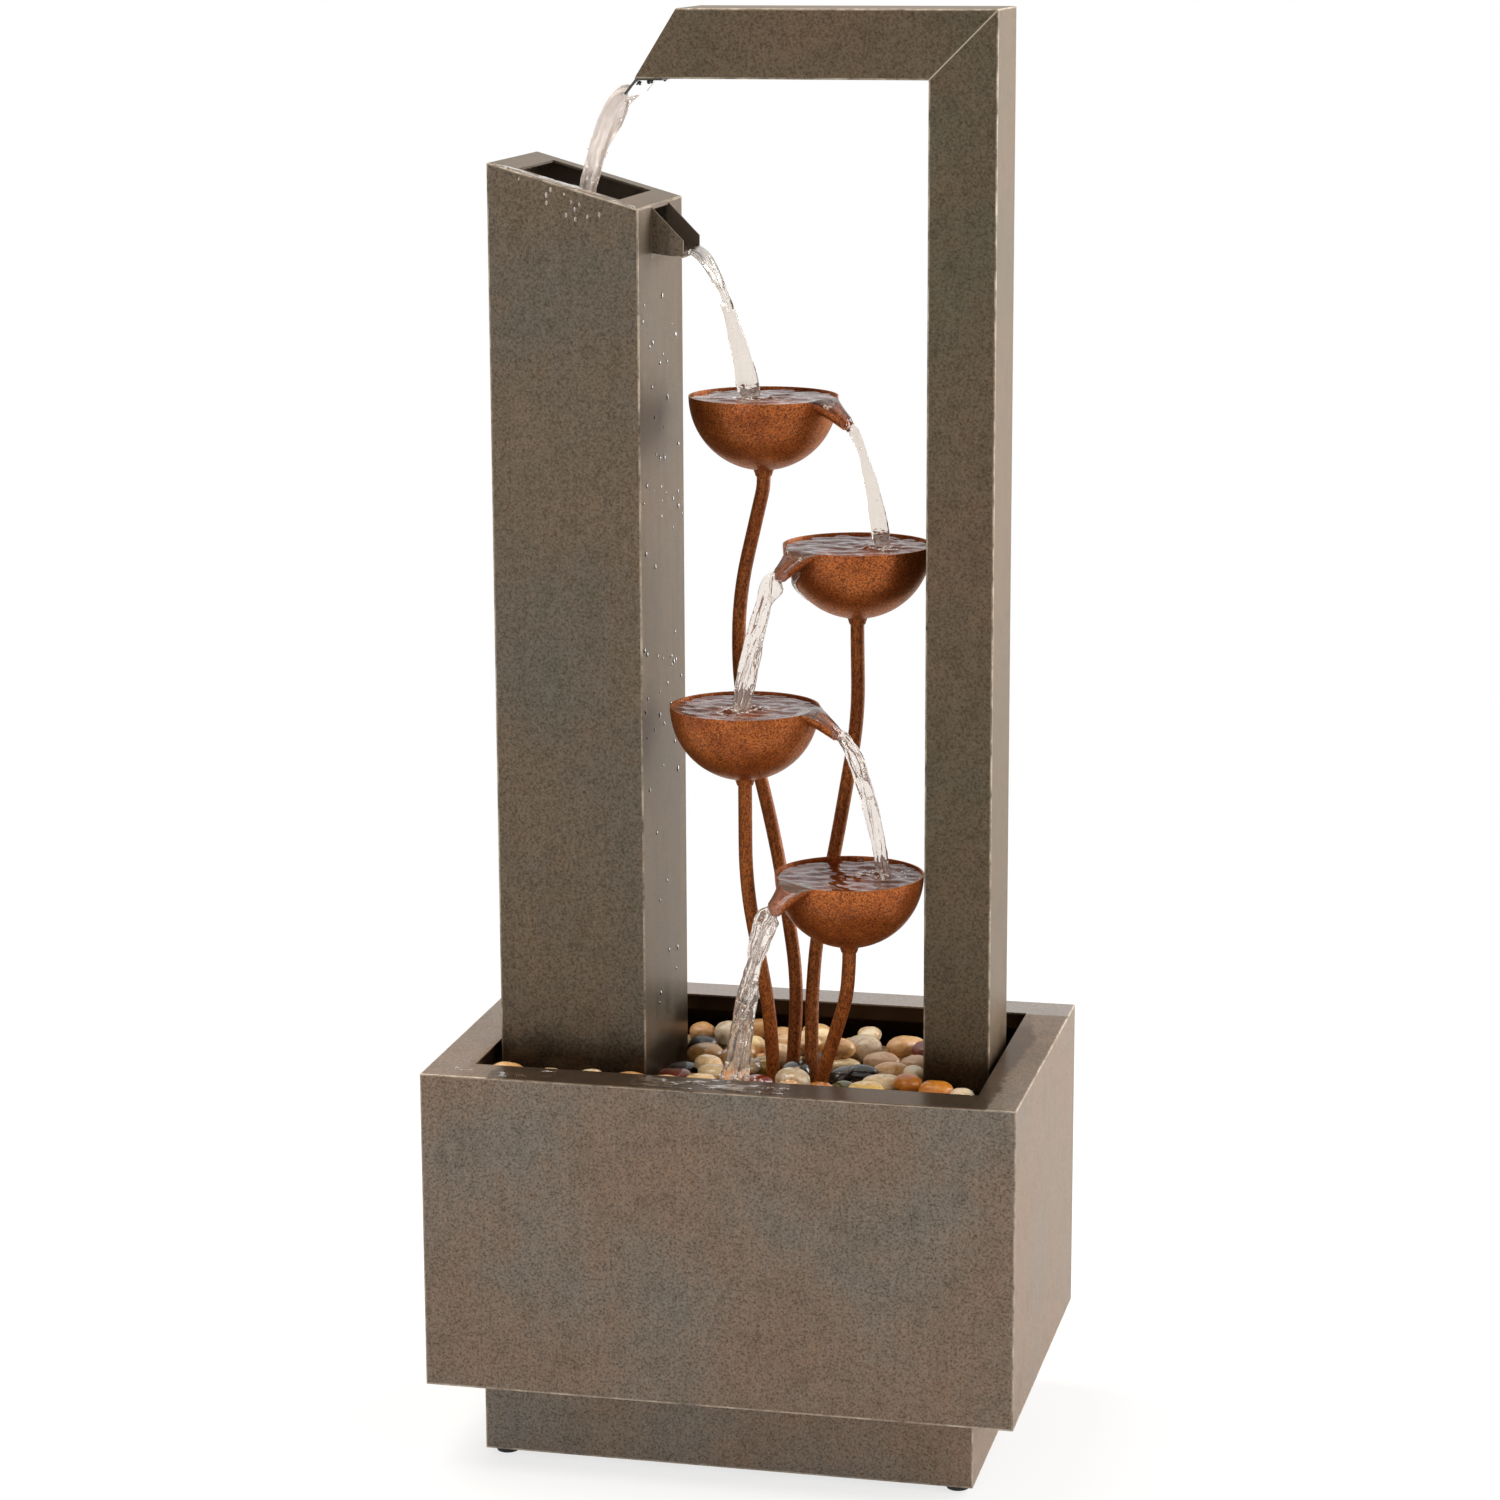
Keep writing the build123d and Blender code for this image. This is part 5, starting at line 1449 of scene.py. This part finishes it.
            draft.ball(fall.at(share) + across, (size, size, dice.uniform(*self.DROP_STRETCH) * size))
        draft.place(fall.name + "_drops", self.drop_water)

    def sheet(self, name: str, half: Pair, x: float, top: float, deep: float, chop: float,
              pitch: float) -> None:
        """Flat body of water with a rippled top.

        Args:
            name: Name of the piece.
            half: Half sizes along X and Y.
            x: Middle along X.
            top: Height of its surface.
            deep: Its depth.
            chop: Height of its ripples.
            pitch: Spacing of its ripples.
        """
        columns, rows = (max(8, int(2 * size / (0.3 * pitch))) for size in half)
        draft = Draft()
        for upper in (True, False):
            for row in range(rows + 1):
                for column in range(columns + 1):
                    across = x + half[0] * (2 * column / columns - 1)
                    along = half[1] * (2 * row / rows - 1)
                    ripple = chop * noise.noise(Vector((across / pitch, along / pitch, top)))
                    draft.put((across, along, top + (ripple if upper else -deep)))
        size = (rows + 1) * (columns + 1)
        draft.grid(rows + 1, columns + 1)
        draft.faces += [tuple(index + size for index in face[::-1]) for face in draft.faces]
        border = list(range(columns + 1))
        border += [row * (columns + 1) + columns for row in range(1, rows + 1)]
        border += [rows * (columns + 1) + column for column in range(columns - 1, -1, -1)]
        border += [row * (columns + 1) for row in range(rows - 1, 0, -1)]
        for here, there in zip(border, border[1:] + border[:1]):
            draft.faces.append((here, here + size, there + size, there))
        draft.place(name, self.calm)

    def puddles(self, name: str, low: Pair, high: Pair, fill: float,
                top: float = BASIN_RIM_MM, slope: float = 0.0) -> None:
        """Thin patches of water on a rim, with ragged outlines.

        Args:
            name: Name of the piece.
            low: Lowest X and Y.
            high: Highest X and Y.
            fill: How much of the rim they cover, from -1 to 1.
            top: Height of the rim at X = 0.
            slope: Rise of the rim for each millimetre along X.
        """
        pitch, thickness, border, deepest = 0.8, 0.25, 3.0, 1.0
        columns, rows = (int((b - a) / pitch) for a, b in zip(low, high))
        grid, deep = Draft(), []
        for row in range(rows + 1):
            for column in range(columns + 1):
                x = low[0] + (high[0] - low[0]) * column / columns
                y = low[1] + (high[1] - low[1]) * row / rows
                spread = noise.noise(Vector((x / 17, y / 8, top)))
                spread += 0.45 * noise.noise(Vector((x / 6, y / 4, top + 5)))
                inset = min(x - low[0], high[0] - x, y - low[1], high[1] - y)
                height = 1.8 * (spread + fill) * smooth(0.0, border, inset) - 0.15
                ripple = 0.3 * noise.noise(Vector((x / 4, y / 2.5, 2.0))) if height > 0.2 else 0.0
                deep.append(height)
                grid.put((x, y, top + slope * x + min(deepest, height) + ripple))
        grid.grid(rows + 1, columns + 1)
        wet = [face for face in grid.faces if max(deep[i] for i in face) > 0]
        used = sorted({i for face in wet for i in face})
        place = {old: new for new, old in enumerate(used)}
        patches = Draft([grid.verts[i] for i in used], [tuple(place[i] for i in face) for face in wet])
        body = patches.place(name, self.calm).modifiers.new("body", "SOLIDIFY")
        body.thickness = thickness * MM
        body.offset = -1.0

    def film(self, name: str, stations: Rows) -> None:
        """Thin water that follows a surface.

        Args:
            name: Name of the piece.
            stations: X, height of the top, half width along Y and depth at each station.
        """
        around = 40
        draft = Draft()
        for x, top, half, deep in stations:
            for c, s in circle(around):
                across = half * math.copysign(abs(c) ** 0.5, c)
                ripple = 0.35 * noise.noise(Vector((x / 5, across / 3.5, top))) if s > 0 else 0.0
                draft.put((x, across, top - deep / 2 + deep / 2 * math.copysign(abs(s) ** 0.5, s) + ripple))
        draft.skin(0, around)
        rounder = draft.place(name, self.running).modifiers.new("smooth", "SUBSURF")
        rounder.levels = rounder.render_levels = 2

    def wall_drops(self) -> None:
        """Drops that cling to the column's right face and hang from the arm's lip."""
        dice = random.Random("wall drops")
        draft = Draft()
        for low, high, count in self.WALL_FIELDS:
            for _ in range(count):
                y = dice.uniform(-58, 58)
                z = dice.uniform(low, high)
                width = dice.uniform(0.8, 1.9)
                tall = width * dice.uniform(0.9, 1.5)
                draft.ball((self.WALL_MM, y, z), (0.5 * width, width, tall), 8)
        for step in range(self.LIP_DROPS):
            y = dice.uniform(-30, 10)
            size = dice.uniform(0.8, 1.6)
            draft.ball((-62 - 2.2 * step, y, 993.2 - 0.3 * step), (size, size, 1.2 * size), 8)
        draft.place("wall_drops", self.bead_water)

    def splash(self) -> None:
        """Drops thrown up in the column's mouth and on the pebbles, and drops over the column's rim."""
        dice = random.Random("splash")
        draft = Draft()
        for centre, reach, high, count in self.SPLASHES:
            for _ in range(count):
                turn = dice.uniform(0, TURN)
                out = abs(dice.gauss(0, reach / 1.6))
                x, y = centre[0] + out * math.cos(turn), centre[1] + 0.7 * out * math.sin(turn)
                z = centre[2] + abs(dice.gauss(0, high / 2.2)) * math.exp(-out / reach)
                size = dice.uniform(0.35, 1.3)
                draft.ball((x, y, z), (size, size, 1.1 * size))
        for _ in range(self.RIM_DROPS):
            x = dice.gauss(COLUMN_X_MM, 16)
            z = COLUMN_RIM_MM + COLUMN_SLOPE * (x - COLUMN_X_MM) - 4 - abs(dice.gauss(0, 12))
            width = dice.uniform(0.5, 1.0)
            draft.ball((x, self.COLUMN_FRONT_MM, z), (width, 0.6 * width, 1.9 * width), 8)
        draft.place("splash_drops", self.drop_water)

    def build(self) -> None:
        """Build all the water outside the bowls."""
        for fall in self.falls:
            self.pour(fall)
        self.sheet("column_pool", (51.4, 60.6), COLUMN_X_MM, 878.6, 9.0, 1.6, 9.0)
        self.film("chute_water", self.CHUTE_FILM)
        self.film("lip_water", self.LIP_FILM)
        self.sheet("basin_pool", (182.6, 106.6), 0.0, 266.0, 6.0, 1.0, 14.0)
        self.puddles("column_rim_water", (-174, -62.4), (-70, -46.6), 0.36,
                     COLUMN_RIM_MM - COLUMN_SLOPE * COLUMN_X_MM, COLUMN_SLOPE)
        self.puddles("front_rim_water", (-64, -136), (52, -107.6), 0.22)
        self.puddles("left_rim_water", (-196, -136), (-120, -110), -0.12)
        self.wall_drops()
        self.splash()


@dataclass
class PebbleBed:
    """The river stones, each rounded afresh on the solid that it stands for.

    Attributes:
        detail: How often a stone's mesh is split.
        bed_top_mm: Height above which a stone lies in the top layer.
        chosen: Colour of each stone that stands out, by its middle.
        palettes: Colours of each group, with its slot in the record.
        picked: X and Y in millimetres and colour of the stones that stand out.
    """

    COLOUR_LAYER: ClassVar[str] = "stone_colour"
    # Fullness of a stone's form, where 2 is a ball, and depth and fineness of its broad and fine dents.
    FULLNESS: ClassVar[float] = 2.3
    BROAD_DENT: ClassVar[Pair] = (0.09, 1.1)
    FINE_DENT: ClassVar[Pair] = (0.035, 2.6)
    detail: int = 4
    bed_top_mm: float = 272.0
    chosen: dict[tuple[float, ...], str] = field(default_factory=dict)
    palettes: dict[str, tuple[Slot, tuple[str, ...]]] = field(default_factory=lambda: {
        "dark": (Slot.DARK, ("#1d1d1b", "#2a2823", "#6a2a1a", "#48472a", "#3a3a37")),
        "amber": (Slot.AMBER, ("#d08a3a", "#dca04a", "#cba65e", "#dcb060")),
        "grey": (Slot.GREY, ("#b3a68e", "#c4b69a", "#9c917a", "#d2c6b0", "#8a806a")),
        "tan": (Slot.TAN, ("#eac08a", "#dcb078", "#f2cc98", "#e4b482", "#cca06c")),
        "cream": (Slot.CREAM, ("#ffe6b8", "#fbdaa8", "#fff0d0", "#f6d0a0", "#fee3bc")),
    })
    picked: tuple[tuple[float, float, str], ...] = (
        (-52, -20, "#161615"), (-45, 27, "#b08a52"), (-28, -40, "#e9dcbb"), (-38, -60, "#f3d8a6"),
        (8, 17, "#c3ad5c"), (31, 11, "#2e2a24"), (63, 13, "#3a352a"), (38, -30, "#e3dccb"),
        (27, -52, "#7c2c18"), (62, -44, "#55561f"), (91, -56, "#e2c780"), (97, -84, "#dcab93"),
        (120, -58, "#c9802a"), (147, -66, "#d58a2c"), (162, -78, "#e9d9bd"), (172, -66, "#e6c98c"),
        (92, 38, "#c9a883"), (115, 16, "#c3a07a"))

    def stones(self, node: bpy.types.Object) -> list[tuple[Vector, Vector, float]]:
        """Find each stone in a node from its solids.

        Args:
            node: Packed object with one closed form for each stone.

        Returns:
            Middle, half sizes and turn of each stone.
        """
        found = []
        work = bmesh.new()
        work.from_mesh(node.data)
        bmesh.ops.remove_doubles(work, verts=work.verts, dist=0.01 * MM)
        left = set(work.verts)
        while left:
            stack = [left.pop()]
            points = []
            while stack:
                vert = stack.pop()
                points.append(vert.co.copy())
                for edge in vert.link_edges:
                    other = edge.other_vert(vert)
                    if other in left:
                        left.discard(other)
                        stack.append(other)
            low, high = (Vector([pick(p[i] for p in points) for i in range(3)]) for pick in (min, max))
            middle = (low + high) / 2
            flat = [(p.x - middle.x, p.y - middle.y) for p in points]
            xx, yy, xy = (sum(v) for v in zip(*[(x * x, y * y, x * y) for x, y in flat]))
            turn = math.atan2(2 * xy, xx - yy) / 2
            length = max(abs(x * math.cos(turn) + y * math.sin(turn)) for x, y in flat)
            width = max(abs(y * math.cos(turn) - x * math.sin(turn)) for x, y in flat)
            found.append((middle, Vector((length, width, (high.z - low.z) / 2)), turn))
        work.free()
        return sorted(found, key=lambda stone: tuple(stone[0]))

    def shape(self, unit: Vector, seed: float) -> Vector:
        """Point of a tumbled stone of half size 1.

        Args:
            unit: Direction from the middle.
            seed: Place in the noise.

        Returns:
            The point, on a form between a ball and a box with shallow dents.
        """
        full = sum(abs(v) ** self.FULLNESS for v in unit) ** (-1 / self.FULLNESS)
        dent = self.BROAD_DENT[0] * noise.noise(unit * self.BROAD_DENT[1] + Vector((seed, 0, 0)))
        dent += self.FINE_DENT[0] * noise.noise(unit * self.FINE_DENT[1] + Vector((0, seed, 0)))
        return unit * full * (0.985 + dent)

    def lay(self, node: bpy.types.Object, group: str) -> None:
        """Build one colour group of stones and let it stand for its node.

        Args:
            node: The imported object.
            group: Name of the colour group.
        """
        dice = random.Random(group)
        slot, palette = self.palettes[group]
        template = bmesh.new()
        bmesh.ops.create_icosphere(template, subdivisions=self.detail, radius=1.0)
        units = [vert.co.normalized() for vert in template.verts]
        cells = [[vert.index for vert in face.verts] for face in template.faces]
        template.free()
        draft, colours = Draft(), []
        for middle, half, turn in self.stones(node):
            seed = dice.uniform(0, 90)
            colour = linear(self.chosen.get(tuple(middle), dice.choice(palette)))
            shade = dice.uniform(0.88, 1.1)
            first = len(draft.verts)
            spin = Matrix.Rotation(turn, 3, "Z")
            draft.verts += [middle + spin @ (self.shape(unit, seed) * half) for unit in units]
            draft.faces += [tuple(first + index for index in cell) for cell in cells]
            colours += [tuple(min(1.0, channel * shade) for channel in colour[:3]) + (1.0,)] * len(units)
        piece = draft.place("stones_" + group, RiverStone("river_stone"), slot)
        layer = piece.data.color_attributes.new(self.COLOUR_LAYER, "FLOAT_COLOR", "POINT")
        for entry, colour in zip(layer.data, colours):
            entry.color = colour
        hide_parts(node.name)

    def build(self, nodes: Objects) -> None:
        """Lay the whole bed.

        Args:
            nodes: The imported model's objects.
        """
        top = [middle for group in self.palettes for middle, _, _ in self.stones(nodes["pebbles_" + group])
               if middle.z > self.bed_top_mm * MM]
        for x, y, colour in self.picked:
            near = min(top, key=lambda stone: math.hypot(stone.x - x * MM, stone.y - y * MM) - 0.6 * stone.z)
            top.remove(near)
            self.chosen[tuple(near)] = colour
        for group in self.palettes:
            self.lay(nodes["pebbles_" + group], group)


@dataclass
class PumpAndFixings:
    """The pump, the hose and the fasteners, each in what it is made of.

    Attributes:
        groups: Each finish with the nodes that have it.
    """

    groups: tuple[tuple[PlainStuff, tuple[str, ...]], ...] = (
        (PlainStuff("moulded_nylon", "#141416", "#1d1d20", 0.5),
         ("pump_housing", "pump_volute", "pump_faceplate", "pump_intake_cage", "pump_flow_dial",
          "hose_clips")),
        (PlainStuff("white_nylon", "#d6d6d0", "#e2e2dc", 0.45), ("pump_impeller",)),
        (PlainStuff("moulded_rubber", "#121212", "#1b1a19", 0.75),
         ("rubber_feet", "cable_grommet", "hose_grommet", "pump_suction_cups", "pump_cable_gland",
          "pump_bushes")),
        (PlainStuff("zinc_plate", "#9a9a96", "#b4b4b0", 0.35, 1.0, 0.5),
         ("foot_screws", "deck_bolts", "deck_nuts", "stem_nuts", "hose_clamp")),
        (PlainStuff("clear_vinyl", "#d8e0dc", "#e4eae6", 0.15, transmission=0.8), ("riser_hose",)),
        (PlainStuff("ground_ceramic", "#dcdad2", "#e8e6de", 0.2), ("pump_shaft",)),
        (PlainStuff("sintered_ferrite", "#2b2929", "#383636", 0.55, 0.3), ("pump_magnet",)),
    )

    def build(self, nodes: Objects) -> None:
        """Dress the pump, the hose and the fasteners.

        Args:
            nodes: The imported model's objects.
        """
        for finish, names in self.groups:
            for name in names:
                paint(nodes[name], finish)


def main() -> None:
    """Build the studio and dress every sub-assembly in order."""
    logging.basicConfig(level=logging.INFO, format="%(name)s: %(message)s")
    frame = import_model()
    nodes = frame["nodes"]
    Studio().build()
    log.info("studio is up")
    SheetWork().build(nodes)
    log.info("sheet work is dressed")
    tiers = Tiers()
    tiers.build(nodes)
    log.info("tiers are dressed and filled")
    PebbleBed().build(nodes)
    log.info("pebbles are laid")
    PumpAndFixings().build(nodes)
    log.info("pump and fixings are dressed")
    Waterworks({bowl.name: bowl for bowl in tiers.bowls}).build()
    log.info("water runs")


if __name__ == "__main__":
    main()
